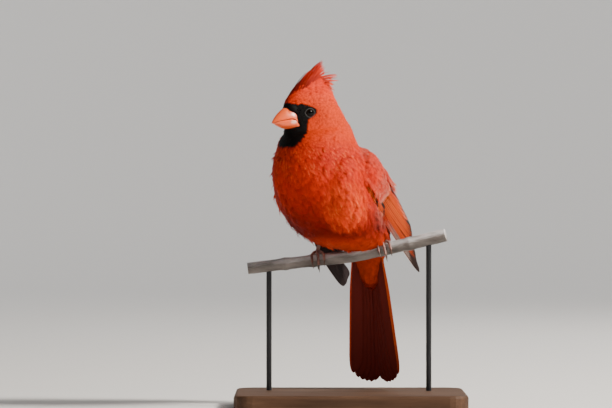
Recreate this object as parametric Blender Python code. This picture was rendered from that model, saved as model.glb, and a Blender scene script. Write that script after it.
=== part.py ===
"""A life-size northern cardinal, male, gripping a cut length of branch that two rods hold over a flat base.

Metres, +Z up. The origin is the centre of the base's underside. The front view looks along +Y.
Tables and sizes are written in millimetres and multiplied by MM.
"""

import math
import random

import bmesh
import bpy
from mathutils import Matrix, Vector
from mathutils.bvhtree import BVHTree

MM = 0.001
GAP = 0.3 * MM
ROOM = 0.39 * MM
CREST_ROOM = 0.21 * MM
FEATHER_THICKNESS = 0.5 * MM
FEATHER_CLEARANCE = 0.15 * MM

# The stand
BASE_SIZE = Vector((170, 120, 12)) * MM
BASE_CORNER_RADIUS = 14 * MM
BASE_EDGE_RADIUS = 2 * MM
ROD_RADIUS = 2 * MM
ROD_X = {"left": 58 * MM, "right": -60 * MM}
ROD_DEPTH_IN_PERCH = 2.6 * MM

# The perch: its line in millimetres rises, and comes a little forward, to the bird's left
PERCH_RADIUS = 4.6 * MM
PERCH_LINE = [
    (-75.5, 13.5, 102.5), (-30.3, 12.8, 108), (3.7, 12, 111.9),
    (37, 9.2, 119.3), (70.3, 3.5, 127.1),
]
PERCH_STEPS = 5
PERCH_SIDES = 12
PERCH_NODES = {-48: 0.7, -27: 0.8, 44: 0.6}
NODE_HALF_LENGTH = 4
PERCH_TAPER = 0.0006

# The three headings: how far forward is turned from -Y towards -X
BODY_YAW = math.radians(42)
HEAD_YAW = math.radians(52)
TAIL_YAW = math.radians(30)
BODY_ORIGIN = Vector((1, 12, 0)) * MM
HEAD_ORIGIN = Vector((-36.3, -27.6, 217.8)) * MM

# Body sections from the vent to the crown, in millimetres: the lowest or foremost point (forward, up),
# the point across from it on the back (forward, up), the half width, and how much fuller the front is
# than the back. The torso's heights are above the floor, the head's above the middle of the eyes.
TORSO_SECTIONS = [
    ((-17, 109), (-29, 113), 8, 0.0),
    ((-12, 114), (-32, 121), 14, 0.0),
    ((8, 118), (-31, 133), 22, 0.05),
    ((30, 122), (-25, 145), 28.5, 0.08),
    ((48, 131), (-18, 157), 31.5, 0.06),
    ((61, 143), (-11, 169), 33, 0.04),
    ((70, 157), (-4, 180), 32.5, 0.0),
    ((74, 171), (2, 190), 31, -0.04),
    ((73.5, 185), (7, 199), 28, -0.08),
    ((70, 197), (10.5, 207), 24.5, -0.1),
]
HEAD_SECTIONS = [
    ((15, -17), (-39, -7), 18.5, -0.3),
    ((15.5, -10), (-35, -1), 16, -0.4),
    ((16, -3), (-31, 5), 13.8, -0.42),
    ((15.8, 2.5), (-28, 10), 12, -0.38),
    ((14, 7), (-26, 14.5), 10, -0.28),
    ((10, 11.5), (-24, 18), 7, -0.15),
    ((4.5, 16), (-22, 21), 4.2, 0.0),
    ((-4.5, 22), (-19.5, 24.5), 2.0, 0.0),
]
TORSO_END = 8.2
TORSO_ROOM_END = 11
NECK_END = 10.15
HEAD_END = 14.0
BODY_SIDES = 24
RINGS_PER_SECTION = 2

# Eyes and bill, in the head's frame in millimetres
EYE_CENTRE = (-0.8, 7.9, -1.5)
EYE_RADIUS = 4.1
EYE_FORWARD_TURN = math.radians(14)
LID_RADIUS = 3.5
LID_THICKNESS = 0.75
LID_RISE = 2.8
BILL_CULMEN = [(8, 3.2), (15.5, 1.9), (19, -0.2), (22.5, -3.2), (25.2, -6.3), (26.8, -9.2)]
BILL_MOUTH = [
    (5, -10.6), (7.2, -9.6), (9.4, -6.9), (12, -6.0), (15, -6.2),
    (18, -6.8), (22.5, -7.8), (25.4, -8.9), (26.8, -9.6),
]
BILL_KEEL = [(5, -13.6), (12, -13.4), (17, -12.8), (21, -11.4), (24, -9.9), (25.2, -9.3)]
BILL_HALF_WIDTH = [(5, 6.9), (10, 6.7), (14, 6.0), (18, 4.9), (22, 3.4), (25, 1.6), (26.8, 0.35)]
LOWER_WIDTH_SHARE = [(5, 1.1), (9, 1.1), (15, 1.0), (22, 0.94), (27, 0.93)]
BILL_STATIONS = [6, 8, 10, 12, 14, 16, 18, 20, 22, 24]
BILL_UPPER_END = [25.4, 26.7]
BILL_LOWER_END = [25.0]
BILL_ARC_STEPS = 10
BILL_ARCH = 1.12
BILL_TROUGH = 0.6
NOSTRIL = (14.6, 3.6, -0.9)
NOSTRIL_RADIUS = 0.65
NOSTRIL_SEGMENTS = 8
NOSTRIL_RINGS = 5

# Crest feathers, front row to back row, in the head's frame in millimetres: root (forward, up),
# tip (forward, up), how far the side feathers stand from the middle at the root, and a feather's width
CREST_ROWS = [
    ((13.0, 6.5), (6.0, 16.5), 4.2, 6.4),
    ((10.5, 9.0), (0.0, 22.5), 4.0, 6.6),
    ((7.0, 11.5), (-7.0, 28.5), 3.6, 6.4),
    ((3.0, 13.5), (-13.5, 33.0), 3.2, 6.0),
    ((-2.0, 16.0), (-20.5, 36.3), 2.6, 5.4),
    ((-7.0, 17.0), (-22.5, 31.0), 3.0, 5.6),
    ((-12.0, 16.0), (-28.5, 25.5), 3.6, 6.0),
    ((-17.0, 14.0), (-31.5, 19.0), 4.6, 6.4),
]
CREST_BOW = 1.6 * MM
CREST_TIP_DRAW = 0.25
CREST_COLUMNS = (-1, 0, 1)
CREST_SIDE_DROP = 1.6
CREST_SIDE_SHARE = 0.9
CREST_SINK = 1.5
CREST_JITTER = 0.8
CREST_FRONT_ROWS = 6
CREST_CORE_END = 16
CREST_TIP_BACK = 0.8
CREST_TIP_FALL = 1.6
CREST_FRONT_FACING = (0.75, 0, 0.65)
CREST_BACK_FACING = (0.1, 0, 1)
CREST_SIDE_TURN = 1.1

# Folded wings, in the body's frame: wrist and wing tip, and how far the wing bows up and hugs the body
WINGS = {
    "left": {"wrist": (25, 32.0, 167), "tip": (-47, 24, 100.5), "bow": 0.0, "hug": 3.0},
    "right": {"wrist": (25, -32.0, 163), "tip": (-24, -28.5, 87.5), "bow": -9.0, "hug": 1.5},
}
WING_LENGTH = 95.0
WING_WRAP = 0.016
WING_WRAP_START = 6.0
WING_CORE_LENGTH = 44.0
WING_CORE_LOW = 3.0
WING_CORE_HIGH = 10.0
WING_CORE_SPREAD = (3.0, 13.0)
WING_CORE_SWELL = (0.12, 0.75)
WING_CORE_TOP = 0.4
WING_CORE_TAPER = 0.6
WING_CORE_RISE = 4.2
WING_CORE_DEPTH = 7.0
WING_CORE_START = -5.0
WING_CORE_STEPS = 7
WING_CORE_SIDES = 12
INNER_PRIMARY_TIP = {"left": (80, 9), "right": (92, 10.5)}
TIP_JITTER = 0.6
WING_ROOT_HEIGHT = 0.8
WING_CAMBER = 0.06
OUTER_WEB_SHARE = 0.4

# Wing feathers in rows, in millimetres along the wing (u) and up from its leading edge (v): how many,
# first root, last root, first tip, last tip, width, height over the wing's surface at the first and last,
# and slope across a feather
WING_ROWS = {
    "primaries": (8, (22, 3), (26, 8), (95, 1.5), (80, 9), 6.4, 0.0, 2.0, 0.36),
    "secondaries": (5, (22, 9), (20, 16), (75, 12), (68, 19.5), 8.6, 2.4, 4.0, 0.24),
    "tertials": (3, (18, 17), (16, 21), (62, 22), (48, 25), 9.5, 4.3, 5.4, 0.18),
    "primary_coverts": (2, (11, 2), (12, 5), (38, 1.5), (34, 5.0), 5.6, 2.4, 3.2, 0.25),
    "alula": (1, (4, 1.5), (4, 1.5), (26, 0.5), (26, 0.5), 5.0, 3.6, 3.6, 0.25),
    "greater_coverts": (5, (5, 6.5), (7, 21), (28, 7.5), (34, 24), 8.0, 3.9, 6.0, 0.22),
    "median_coverts": (4, (-1, 5), (0, 19), (17, 5.5), (19, 21), 8.2, 5.2, 7.0, 0.2),
}

# Tail, in the tail's frame: it hangs almost straight down from its root under the rump
TAIL_ROOT = (-24.0, -3.3, 121.0)
TAIL_PITCH = math.radians(85.5)
TAIL_LEAN = 0.045
TAIL_FEATHERS_A_SIDE = 6
TAIL_LENGTHS = [103.0, 104.0, 103.5, 102.5, 100.5, 97.0]
TAIL_FEATHER_WIDTH = 10.0
TAIL_ROOT_PLACES = [1.0, 3.0, 5.0, 7.0, 9.0, 11.0]
TAIL_TIP_PLACES = [3.8, 6.9, 10.0, 13.0, 16.1, 19.2]
TAIL_ROOT_START = 2.0
TAIL_LAYER = 0.8
TAIL_MIDDLE_LIFT = 0.9
TAIL_ARCH = 0.006
TAIL_CORE_SIDES = 14
TAIL_CORE = [(-6, 12, 6.5), (2, 12.5, 6.6), (8, 12, 6.0), (15, 10, 4.8), (23, 7.5, 3.4), (31, 5, 2.2)]
TAIL_CORE_SINK = 1.6
TAIL_CAMBER = 0.03

# Coverts in tiers: how many, root and tip along the tail, spread across it, and width
UNDERTAIL_TIERS = [(5, 8, 21, 15, 8.0), (4, 12, 28, 10, 7.5), (3, 17, 36, 4.5, 6.5)]
UPPERTAIL_TIERS = [(4, 8, 20, 14, 8.0), (3, 13, 30, 7, 7.5)]
COVERT_ROOT_HEIGHT = 4.0
COVERT_TIP_HEIGHT = {-1: 5.0, 1: 1.9}
COVERT_ROOT_STEP = 0.5
COVERT_TIP_STEP = 0.25
COVERT_ROOT_SPREAD = 1.1
COVERT_SIDE_TURN = 0.7
COVERT_BOW = 1.4 * MM

# Legs and feet
FOOT_X = {"left": 25.5 * MM, "right": -23.7 * MM}
HEEL = {"left": (-6.0, 17.0, 143.0), "right": (12.0, -17.0, 134.0)}
TARSUS_RADIUS = 1.35 * MM
TOE_RADIUS = 1.05 * MM
CLAW_RADIUS = 0.75 * MM
CLAW_RINGS = 4
CLAW_CURL = {True: 0.1, False: 0.28}
SCUTE_STEP = 0.22 * MM
SMOOTH_STEPS = 6
FOOT_TOP_ANGLE = math.radians(-22)
FRONT_TOES = {"inner": (-4.6, 76, 2.0, 6.0), "middle": (-0.2, 82, 4.5, 6.8), "outer": (4.4, 78, 2.5, 6.0)}
HIND_TOE = (-118, 7.0)
HIND_LEAN = 0.6
TOE_STEPS = 8
TOE_CLEARANCE = 0.45 * MM
TOE_SCUTES = {True: 5, False: 4}
TARSUS_SCUTES = 7
ANKLE_RADIUS = 1.75 * MM
ANKLE_HEIGHT = 2.0 * MM

# Colours and finishes
RED = (0.62, 0.045, 0.02, 1)
BRIGHT_RED = (0.75, 0.07, 0.025, 1)
DUSKY_RED = (0.28, 0.03, 0.02, 1)
CORAL = (0.85, 0.24, 0.1, 1)
EYE_BROWN = (0.015, 0.008, 0.006, 1)
LEG_BROWN = (0.16, 0.075, 0.06, 1)
BARK_GREY = (0.3, 0.28, 0.26, 1)
BASE_WALNUT = (0.09, 0.045, 0.025, 1)
ROD_BLACK = (0.03, 0.03, 0.032, 1)

rng = random.Random(7)


def clear_scene():
    for obj in list(bpy.data.objects):
        bpy.data.objects.remove(obj)


def heading(origin, yaw):
    """Turns (forward, left, up) in metres into a place in the part's axes."""
    forward = Vector((-math.sin(yaw), -math.cos(yaw), 0))
    left = Vector((math.cos(yaw), -math.sin(yaw), 0))
    matrix = Matrix((forward, left, Vector((0, 0, 1)))).transposed().to_4x4()
    matrix.translation = origin
    return matrix


BODY = heading(BODY_ORIGIN, BODY_YAW)
HEAD = heading(HEAD_ORIGIN, HEAD_YAW)


def material(name, colour, roughness, metallic=0.0):
    made = bpy.data.materials.new(name)
    made.use_nodes = True
    shader = made.node_tree.nodes["Principled BSDF"]
    shader.inputs["Base Color"].default_value = colour
    shader.inputs["Roughness"].default_value = roughness
    shader.inputs["Metallic"].default_value = metallic
    made.diffuse_color = colour
    return made


def mesh_object(name, points, faces):
    mesh = bpy.data.meshes.new(name)
    mesh.from_pydata([tuple(p) for p in points], [], faces)
    mesh.validate()
    obj = bpy.data.objects.new(name, mesh)
    bpy.context.scene.collection.objects.link(obj)
    return obj


def loft(name, rings):
    """A closed solid through rings of equally many points, with a face over each end."""
    sides = len(rings[0])
    points = [p for ring in rings for p in ring]
    faces = []
    for i in range(len(rings) - 1):
        for j in range(sides):
            a, b = i * sides + j, i * sides + (j + 1) % sides
            faces += [(a, b, b + sides), (a, b + sides, a + sides)]
    last = (len(rings) - 1) * sides
    faces += [tuple(reversed(range(sides))), tuple(range(last, last + sides))]
    obj = mesh_object(name, points, faces)
    face_out(obj)
    return obj


def face_out(obj):
    edit = bmesh.new()
    edit.from_mesh(obj.data)
    bmesh.ops.recalc_face_normals(edit, faces=edit.faces)
    if edit.calc_volume(signed=True) < 0:
        bmesh.ops.reverse_faces(edit, faces=edit.faces)
    edit.to_mesh(obj.data)
    edit.free()


def apply_modifiers(obj):
    graph = bpy.context.evaluated_depsgraph_get()
    mesh = bpy.data.meshes.new_from_object(obj.evaluated_get(graph))
    obj.modifiers.clear()
    obj.data = mesh


def boolean(obj, others, operation, solver="MANIFOLD"):
    """Joins or cuts obj with the other closed meshes, and removes them."""
    group = bpy.data.collections.new("operands")
    for other in others:
        group.objects.link(other)
    modifier = obj.modifiers.new(operation.lower(), "BOOLEAN")
    modifier.operand_type = "COLLECTION"
    modifier.collection = group
    modifier.operation = operation
    modifier.solver = solver
    apply_modifiers(obj)
    for other in others:
        bpy.data.objects.remove(other)
    bpy.data.collections.remove(group)


def keep_largest(obj):
    """Keeps only the closed surface that holds most, and drops loose scraps and sealed hollows."""
    edit = bmesh.new()
    edit.from_mesh(obj.data)
    edit.faces.ensure_lookup_table()
    unseen = set(edit.faces)
    groups = []
    while unseen:
        stack = [unseen.pop()]
        group = []
        while stack:
            face = stack.pop()
            group.append(face)
            for edge in face.edges:
                for near in edge.link_faces:
                    if near in unseen:
                        unseen.remove(near)
                        stack.append(near)
        groups.append(group)
    groups.sort(key=lambda group: -enclosed(group))
    for group in groups[1:]:
        bmesh.ops.delete(edit, geom=group, context="FACES")
    edit.to_mesh(obj.data)
    edit.free()


def enclosed(faces):
    """The volume inside a closed group of faces."""
    total = 0.0
    for face in faces:
        first = face.verts[0].co
        for a, b in zip(face.verts[1:-1], face.verts[2:]):
            total += first.dot(a.co.cross(b.co)) / 6
    return abs(total)


def curve_through(points, steps):
    """Catmull-Rom through tuples of numbers or vectors, with steps spans between each pair."""
    out = []
    for i in range(len(points) - 1):
        p0 = points[max(i - 1, 0)]
        p1, p2 = points[i], points[i + 1]
        p3 = points[min(i + 2, len(points) - 1)]
        out += [catmull(p0, p1, p2, p3, k / steps) for k in range(steps)]
    return [*out, points[-1]]


def catmull(p0, p1, p2, p3, t):
    squared = 2 * p0 - 5 * p1 + 4 * p2 - p3
    cubed = 3 * p1 - p0 - 3 * p2 + p3
    return 0.5 * (2 * p1 + (p2 - p0) * t + squared * t * t + cubed * t**3)


def value_at(table, x):
    """Reads a table of (x, value) pairs, straight between them."""
    if x <= table[0][0]:
        return table[0][1]
    for (x0, v0), (x1, v1) in zip(table, table[1:]):
        if x <= x1:
            return v0 + (v1 - v0) * (x - x0) / (x1 - x0)
    return table[-1][1]


def body_sections():
    """Each section as (front point, back point, left direction, half width, fullness) in the part's axes."""
    sections = []
    for frame, rows in ((BODY, TORSO_SECTIONS), (HEAD, HEAD_SECTIONS)):
        left = frame.to_3x3() @ Vector((0, 1, 0))
        for (f0, z0), (f1, z1), half_width, fullness in rows:
            front = frame @ (Vector((f0, 0, z0)) * MM)
            back = frame @ (Vector((f1, 0, z1)) * MM)
            sections.append((front, back, left, half_width * MM, fullness))
    return sections


def body_ring(at, inflate=0.0, shift=0.0):
    """The body's outline at a place along its sections, in that section's plane."""
    sections = body_sections()
    i = min(int(at), len(sections) - 2)
    near = [sections[max(0, min(k, len(sections) - 1))] for k in range(i - 1, i + 3)]
    front, back, left, half_width, fullness = (catmull(*(s[k] for s in near), at - i) for k in range(5))
    centre = (front + back) / 2
    across = front - back
    depth = across.length / 2 + inflate
    across.normalize()
    left = (left - across * left.dot(across)).normalized()
    normal = left.cross(across) * shift
    ring = []
    for k in range(BODY_SIDES):
        angle = 2 * math.pi * k / BODY_SIDES
        wide = (half_width + inflate) * math.sin(angle) * (1 + fullness * math.cos(angle))
        ring.append(centre + across * depth * math.cos(angle) + left * wide + normal)
    return ring


def body_length(name, start, end, inflate=0.0, trim_start=0.0, trim_end=0.0):
    """The body between two places along its sections, its flat ends trimmed back to leave the gap."""
    count = max(2, round((end - start) * RINGS_PER_SECTION))
    rings = [body_ring(start, inflate, -trim_start)]
    rings += [body_ring(start + (end - start) * k / count, inflate) for k in range(1, count)]
    rings.append(body_ring(end, inflate, trim_end))
    return loft(name, rings)


def plane_normal_sign():
    """+1 where a ring's plane normal points towards the crown."""
    first, second = body_ring(6), body_ring(6, shift=MM)
    step = sum((b - a for a, b in zip(first, second)), Vector()) / len(first)
    onward = sum(body_ring(7), Vector()) - sum(first, Vector())
    return 1 if step.dot(onward) > 0 else -1


def vane(name, path, normals, widths, thickness=FEATHER_THICKNESS, camber=0.12, outer_share=0.5, push=None):
    """A thin closed feather along a path: each station is five-sided above and below a raised shaft line."""
    rings = []
    for i, (centre, normal, width) in enumerate(zip(path, normals, widths)):
        ahead = path[min(i + 1, len(path) - 1)] - path[max(i - 1, 0)]
        side = ahead.cross(normal).normalized()
        up = side.cross(ahead).normalized()
        if up.dot(normal) < 0:
            up = -up
        top = [centre - side * width * outer_share - up * width * camber, centre + Vector(),
               centre + side * width * (1 - outer_share) - up * width * camber]
        if push:
            top = [push(p) for p in top]
        thick = thickness * (0.6 if i == len(path) - 1 else 1)
        rings.append([*top, *[p - up * thick for p in reversed(top)]])
    return loft(name, rings)


LONG_STATIONS = [(0.0, 0.45), (0.45, 0.95), (0.86, 0.9), (1.0, 0.35)]
SHORT_STATIONS = [(0.0, 0.5), (0.6, 1.0), (1.0, 0.3)]


def straight_vane(name, root, tip, normal, width, bow=0.0, **more):
    """A feather from root to tip that bows towards its normal."""
    path, widths = [], []
    for t, share in SHORT_STATIONS:
        path.append(root.lerp(tip, t) + normal * bow * math.sin(math.pi * t))
        widths.append(width * share)
    return vane(name, path, [normal] * len(path), widths, **more)


def outward_push(tree, clearance):
    """A function that moves a point out of the surface in tree, to stand clear of it."""
    def push(point):
        near, normal, _, _ = tree.find_nearest(point)
        height = (point - near).dot(normal)
        return point + normal * (clearance - height) if height < clearance else point
    return push


def tree_of(obj):
    graph = bpy.context.evaluated_depsgraph_get()
    return BVHTree.FromObject(obj, graph)


def make_body():
    """Torso, neck and head parted by thin cuts, and the crest's low core."""
    sign = plane_normal_sign()
    trim = GAP / 2 * sign
    torso = body_length("torso", 0, TORSO_END, trim_end=-trim)
    neck = body_length("neck", TORSO_END, NECK_END, trim_start=-trim, trim_end=-trim)
    head = body_length("head", NECK_END, HEAD_END, trim_start=-trim, trim_end=-trim)
    crest = body_length("crest", HEAD_END, CREST_CORE_END, trim_start=-trim)
    return torso, neck, head, crest


def eye_frame(side):
    """The eye's centre and the direction in which it looks, in the part's axes."""
    sign = 1 if side == "left" else -1
    forward, left, up = EYE_CENTRE
    centre = HEAD @ (Vector((forward, sign * left, up)) * MM)
    look = HEAD.to_3x3() @ Vector((math.sin(EYE_FORWARD_TURN), sign * math.cos(EYE_FORWARD_TURN), 0))
    return centre, look.normalized()


def sphere(name, centre, radius, segments=16, rings=9):
    bpy.ops.mesh.primitive_uv_sphere_add(segments=segments, ring_count=rings, radius=radius, location=centre)
    obj = bpy.context.object
    obj.name = name
    bake_place(obj)
    return obj


def bake_place(obj):
    obj.data.transform(obj.matrix_basis)
    obj.matrix_basis = Matrix.Identity(4)


def make_eyes(head):
    """Eyeballs in sockets, with a raised ring of lid round each."""
    eyes, lids, sockets = [], [], []
    for side in ("left", "right"):
        centre, look = eye_frame(side)
        eyes.append(sphere(f"eye_{side}", centre, EYE_RADIUS * MM))
        sockets.append(sphere(f"socket_{side}", centre, EYE_RADIUS * MM + GAP))
        rim = centre + look * LID_RISE * MM
        bpy.ops.mesh.primitive_torus_add(major_radius=LID_RADIUS * MM, minor_radius=LID_THICKNESS * MM,
                                         major_segments=16, minor_segments=6, location=rim,
                                         rotation=look.to_track_quat("Z", "Y").to_euler())
        lid = bpy.context.object
        bake_place(lid)
        lids.append(lid)
    boolean(head, lids, "UNION")
    boolean(head, sockets, "DIFFERENCE")
    return eyes


def bill_ring(forward, top, bottom, half_width, upper):
    """A mandible's outline across the head: an arch over a flat mouth line, or its mirror below one."""
    ring = []
    for k in range(BILL_ARC_STEPS + 1):
        angle = math.pi * k / BILL_ARC_STEPS
        height = math.sin(angle) ** (BILL_ARCH if upper else BILL_TROUGH)
        z = bottom + (top - bottom) * height if upper else top - (top - bottom) * height
        ring.append(HEAD @ (Vector((forward, half_width * math.cos(angle), z)) * MM))
    return ring


def make_bill(head_shape):
    """Upper and lower mandible, parted along the mouth line and cut where the face begins."""
    half_gap = GAP / MM / 2
    upper_rings, lower_rings = [], []
    for f in BILL_STATIONS + BILL_UPPER_END:
        mouth = value_at(BILL_MOUTH, f) + half_gap
        upper_rings.append(bill_ring(f, value_at(BILL_CULMEN, f), mouth, value_at(BILL_HALF_WIDTH, f), True))
    for f in BILL_STATIONS + BILL_LOWER_END:
        mouth = value_at(BILL_MOUTH, f) - half_gap
        half_width = value_at(BILL_HALF_WIDTH, f) * value_at(LOWER_WIDTH_SHARE, f)
        lower_rings.append(bill_ring(f, mouth, value_at(BILL_KEEL, f), half_width, False))
    upper, lower = loft("bill_upper", upper_rings), loft("bill_lower", lower_rings)
    pits = []
    for sign in (1, -1):
        forward, left, up = NOSTRIL
        centre = HEAD @ (Vector((forward, sign * left, up)) * MM)
        pits.append(sphere("pit", centre, NOSTRIL_RADIUS * MM, NOSTRIL_SEGMENTS, NOSTRIL_RINGS))
    boolean(upper, pits, "DIFFERENCE")
    for mandible in (upper, lower):
        boolean(mandible, [copy_of(head_shape)], "DIFFERENCE")
        keep_largest(mandible)
    return upper, lower


def make_crest(crest, head_room):
    """Rows of pointed feathers over a low core, sweeping back and up to the tip."""
    feathers = []
    for row, ((f0, z0), (f1, z1), spread, width) in enumerate(CREST_ROWS):
        for column in CREST_COLUMNS:
            drop = CREST_SIDE_DROP * abs(column)
            jitter = rng.uniform(-CREST_JITTER, CREST_JITTER)
            root = Vector((f0 - drop, column * spread, z0 - drop - CREST_SINK)) * MM
            tip_forward = f1 + jitter - drop * CREST_TIP_BACK
            tip_up = z1 - drop * CREST_TIP_FALL + jitter
            tip = Vector((tip_forward, column * spread * CREST_TIP_DRAW, tip_up)) * MM
            along = (tip - root).normalized()
            out = Vector(CREST_FRONT_FACING if row < CREST_FRONT_ROWS else CREST_BACK_FACING)
            normal = out + Vector((0, column * CREST_SIDE_TURN, 0))
            normal = (normal - along * normal.dot(along)).normalized()
            name = f"crest_feather_{row}_{column}"
            share = CREST_SIDE_SHARE if column else 1
            feather = straight_vane(name, root, tip, normal, width * MM * share, bow=CREST_BOW, camber=0.2)
            feather.data.transform(HEAD)
            feathers.append(feather)
    boolean(crest, feathers, "UNION")
    boolean(crest, [head_room], "DIFFERENCE")
    keep_largest(crest)


class Wing:
    """A folded wing's surface: u runs from the wrist to the tip, v up from the leading edge, n outwards."""

    def __init__(self, side):
        sizes = WINGS[side]
        self.sign = 1 if side == "left" else -1
        self.wrist = Vector(sizes["wrist"])
        along = Vector(sizes["tip"]) - self.wrist
        self.scale = along.length / WING_LENGTH
        self.along = along.normalized()
        outward = Vector((0, self.sign, 0))
        self.up = self.along.cross(outward).normalized() * -self.sign
        if self.up.z < 0:
            self.up = -self.up
        self.outward = self.along.cross(self.up).normalized()
        if self.outward.y * self.sign < 0:
            self.outward = -self.outward
        self.bow = sizes["bow"]
        self.hug = sizes["hug"]

    def point(self, u, v, n):
        swing = math.sin(math.pi * min(max(u / WING_LENGTH, 0), 1))
        lift = self.bow * swing
        wrap = self.hug * swing + WING_WRAP * max(v - WING_WRAP_START, 0) ** 2
        place = self.wrist + self.along * u * self.scale + self.up * (v + lift) + self.outward * (n - wrap)
        return BODY @ (place * MM)

    def normal(self, u, v):
        across = self.point(u, v + 1, 0) - self.point(u, v - 1, 0)
        along = self.point(u + 1, v, 0) - self.point(u - 1, v, 0)
        out = along.cross(across).normalized()
        return out if out.dot(BODY.to_3x3() @ self.outward) > 0 else -out


def wing_feather(wing, name, root, tip, width, height, slope, push):
    """One feather on the wing's surface. Its leading web is raised over the feather below it."""
    path, normals, widths = [], [], []
    for t, share in LONG_STATIONS if "covert" not in name else SHORT_STATIONS:
        u = root[0] + (tip[0] - root[0]) * t
        v = root[1] + (tip[1] - root[1]) * t
        path.append(wing.point(u, v, height if t else WING_ROOT_HEIGHT))
        tilt = wing.normal(u, v)
        across = (wing.point(u, v + 1, 0) - wing.point(u, v, 0)).normalized()
        normals.append((tilt + across * slope).normalized())
        widths.append(width * MM * share)
    share = OUTER_WEB_SHARE if wing.sign > 0 else 1 - OUTER_WEB_SHARE
    return vane(name, path, normals, widths, camber=WING_CAMBER, outer_share=share, push=push)


def wing_core(wing, name):
    """The wing's fleshy part under the coverts, deep enough to be cut back to the body."""
    rings = []
    for k in range(WING_CORE_STEPS + 1):
        t = k / WING_CORE_STEPS
        u = WING_CORE_START + (WING_CORE_LENGTH - WING_CORE_START) * t
        swell = WING_CORE_SWELL[0] + WING_CORE_SWELL[1] * t
        reach = math.sqrt(math.sin(math.pi * min(1, swell)))
        low = WING_CORE_LOW - WING_CORE_SPREAD[0] * reach
        high = WING_CORE_HIGH + WING_CORE_SPREAD[1] * reach
        top = WING_CORE_TOP + WING_CORE_RISE * (1 - t) ** WING_CORE_TAPER * reach
        bottom = -WING_CORE_DEPTH
        ring = []
        for j in range(WING_CORE_SIDES):
            angle = 2 * math.pi * j / WING_CORE_SIDES
            v = (low + high) / 2 + (high - low) / 2 * math.cos(angle)
            n = (top + bottom) / 2 + (top - bottom) / 2 * math.sin(angle)
            ring.append(wing.point(u, v, n))
        rings.append(ring)
    return loft(name, rings)


def make_wing(side, push, cutters):
    """The core and its tiers of feathers, joined and cut clear of the body and the perch."""
    wing = Wing(side)
    core = wing_core(wing, f"wing_{side}")
    feathers = []
    for row, (count, root0, root1, tip0, tip1, width, height0, height1, slope) in WING_ROWS.items():
        if row == "primaries":
            tip1 = INNER_PRIMARY_TIP[side]
        for i in range(count):
            t = i / max(count - 1, 1)
            root = [a + (b - a) * t for a, b in zip(root0, root1)]
            tip = [a + (b - a) * t for a, b in zip(tip0, tip1)]
            tip[0] += rng.uniform(-TIP_JITTER, TIP_JITTER)
            height = height0 + (height1 - height0) * t
            feathers.append(wing_feather(wing, f"{row}_{i}", root, tip, width, height, slope, push))
    boolean(core, feathers, "UNION")
    boolean(core, [copy_of(cutter) for cutter in cutters], "DIFFERENCE")
    keep_largest(core)
    return core


def copy_of(obj):
    made = obj.copy()
    made.data = obj.data.copy()
    bpy.context.scene.collection.objects.link(made)
    return made


class Tail:
    """The tail's plane: distance down from the root, to the bird's left, and up from its upper side."""

    def __init__(self):
        root = BODY @ (Vector(TAIL_ROOT) * MM)
        frame = heading(root, TAIL_YAW).to_3x3()
        self.root = root
        self.down = frame @ Vector((-math.cos(TAIL_PITCH), 0, -math.sin(TAIL_PITCH)))
        self.left = frame @ Vector((0, 1, 0))
        self.upper = frame @ Vector((-math.sin(TAIL_PITCH), 0, math.cos(TAIL_PITCH)))

    def point(self, along, left, height):
        arch = TAIL_ARCH * left * left
        across = left + TAIL_LEAN * along
        return self.root + (self.down * along + self.left * across + self.upper * (height - arch)) * MM


def tail_feather(tail, side, index):
    """One of the twelve tail feathers. The middle pair lies uppermost."""
    sign = 1 if side == "left" else -1
    height = -TAIL_LAYER * index
    if index == 0:
        height += TAIL_MIDDLE_LIFT * (side == "left")
    root_left = sign * TAIL_ROOT_PLACES[index]
    tip_left = sign * TAIL_TIP_PLACES[index]
    path, normals, widths = [], [], []
    for t, share in LONG_STATIONS:
        left = root_left + (tip_left - root_left) * t
        along = TAIL_ROOT_START + (TAIL_LENGTHS[index] - TAIL_ROOT_START) * t
        path.append(tail.point(along, left, height))
        normals.append(tail.upper)
        widths.append(TAIL_FEATHER_WIDTH * MM * share)
    return vane(f"rectrix_{side}_{index}", path, normals, widths, camber=TAIL_CAMBER)


def tail_coverts(tail, tiers, face):
    """Tiers of small feathers over the tail's root, below it with face -1 and above it with face 1."""
    made = []
    for tier, (count, start, end, spread, width) in enumerate(tiers):
        for i in range(count):
            across = (i / (count - 1) - 0.5) if count > 1 else 0.0
            root_height = COVERT_ROOT_HEIGHT - COVERT_ROOT_STEP * tier
            tip_height = COVERT_TIP_HEIGHT[face] - COVERT_TIP_STEP * tier
            root = tail.point(start, across * spread * COVERT_ROOT_SPREAD, face * root_height)
            tip = tail.point(end, across * spread, face * tip_height)
            normal = (tail.upper * face + tail.left * across * COVERT_SIDE_TURN).normalized()
            name = f"covert_{face}_{tier}_{i}"
            made.append(straight_vane(name, root, tip, normal, width * MM, bow=COVERT_BOW))
    return made


def make_tail(cutters):
    """Core, twelve tail feathers and their coverts, cut clear of the body and the perch."""
    tail = Tail()
    rings = []
    for along, half_width, half_depth in TAIL_CORE:
        ring = []
        for k in range(TAIL_CORE_SIDES):
            angle = 2 * math.pi * k / TAIL_CORE_SIDES
            height = half_depth * math.sin(angle) - TAIL_CORE_SINK
            ring.append(tail.point(along, half_width * math.cos(angle), height))
        rings.append(ring)
    core = loft("tail", rings)
    pieces = [tail_feather(tail, side, i) for side in ("left", "right") for i in range(TAIL_FEATHERS_A_SIDE)]
    pieces += tail_coverts(tail, UNDERTAIL_TIERS, -1) + tail_coverts(tail, UPPERTAIL_TIERS, 1)
    boolean(core, pieces, "UNION")
    boolean(core, [copy_of(cutter) for cutter in cutters], "DIFFERENCE")
    keep_largest(core)
    return core


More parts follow.
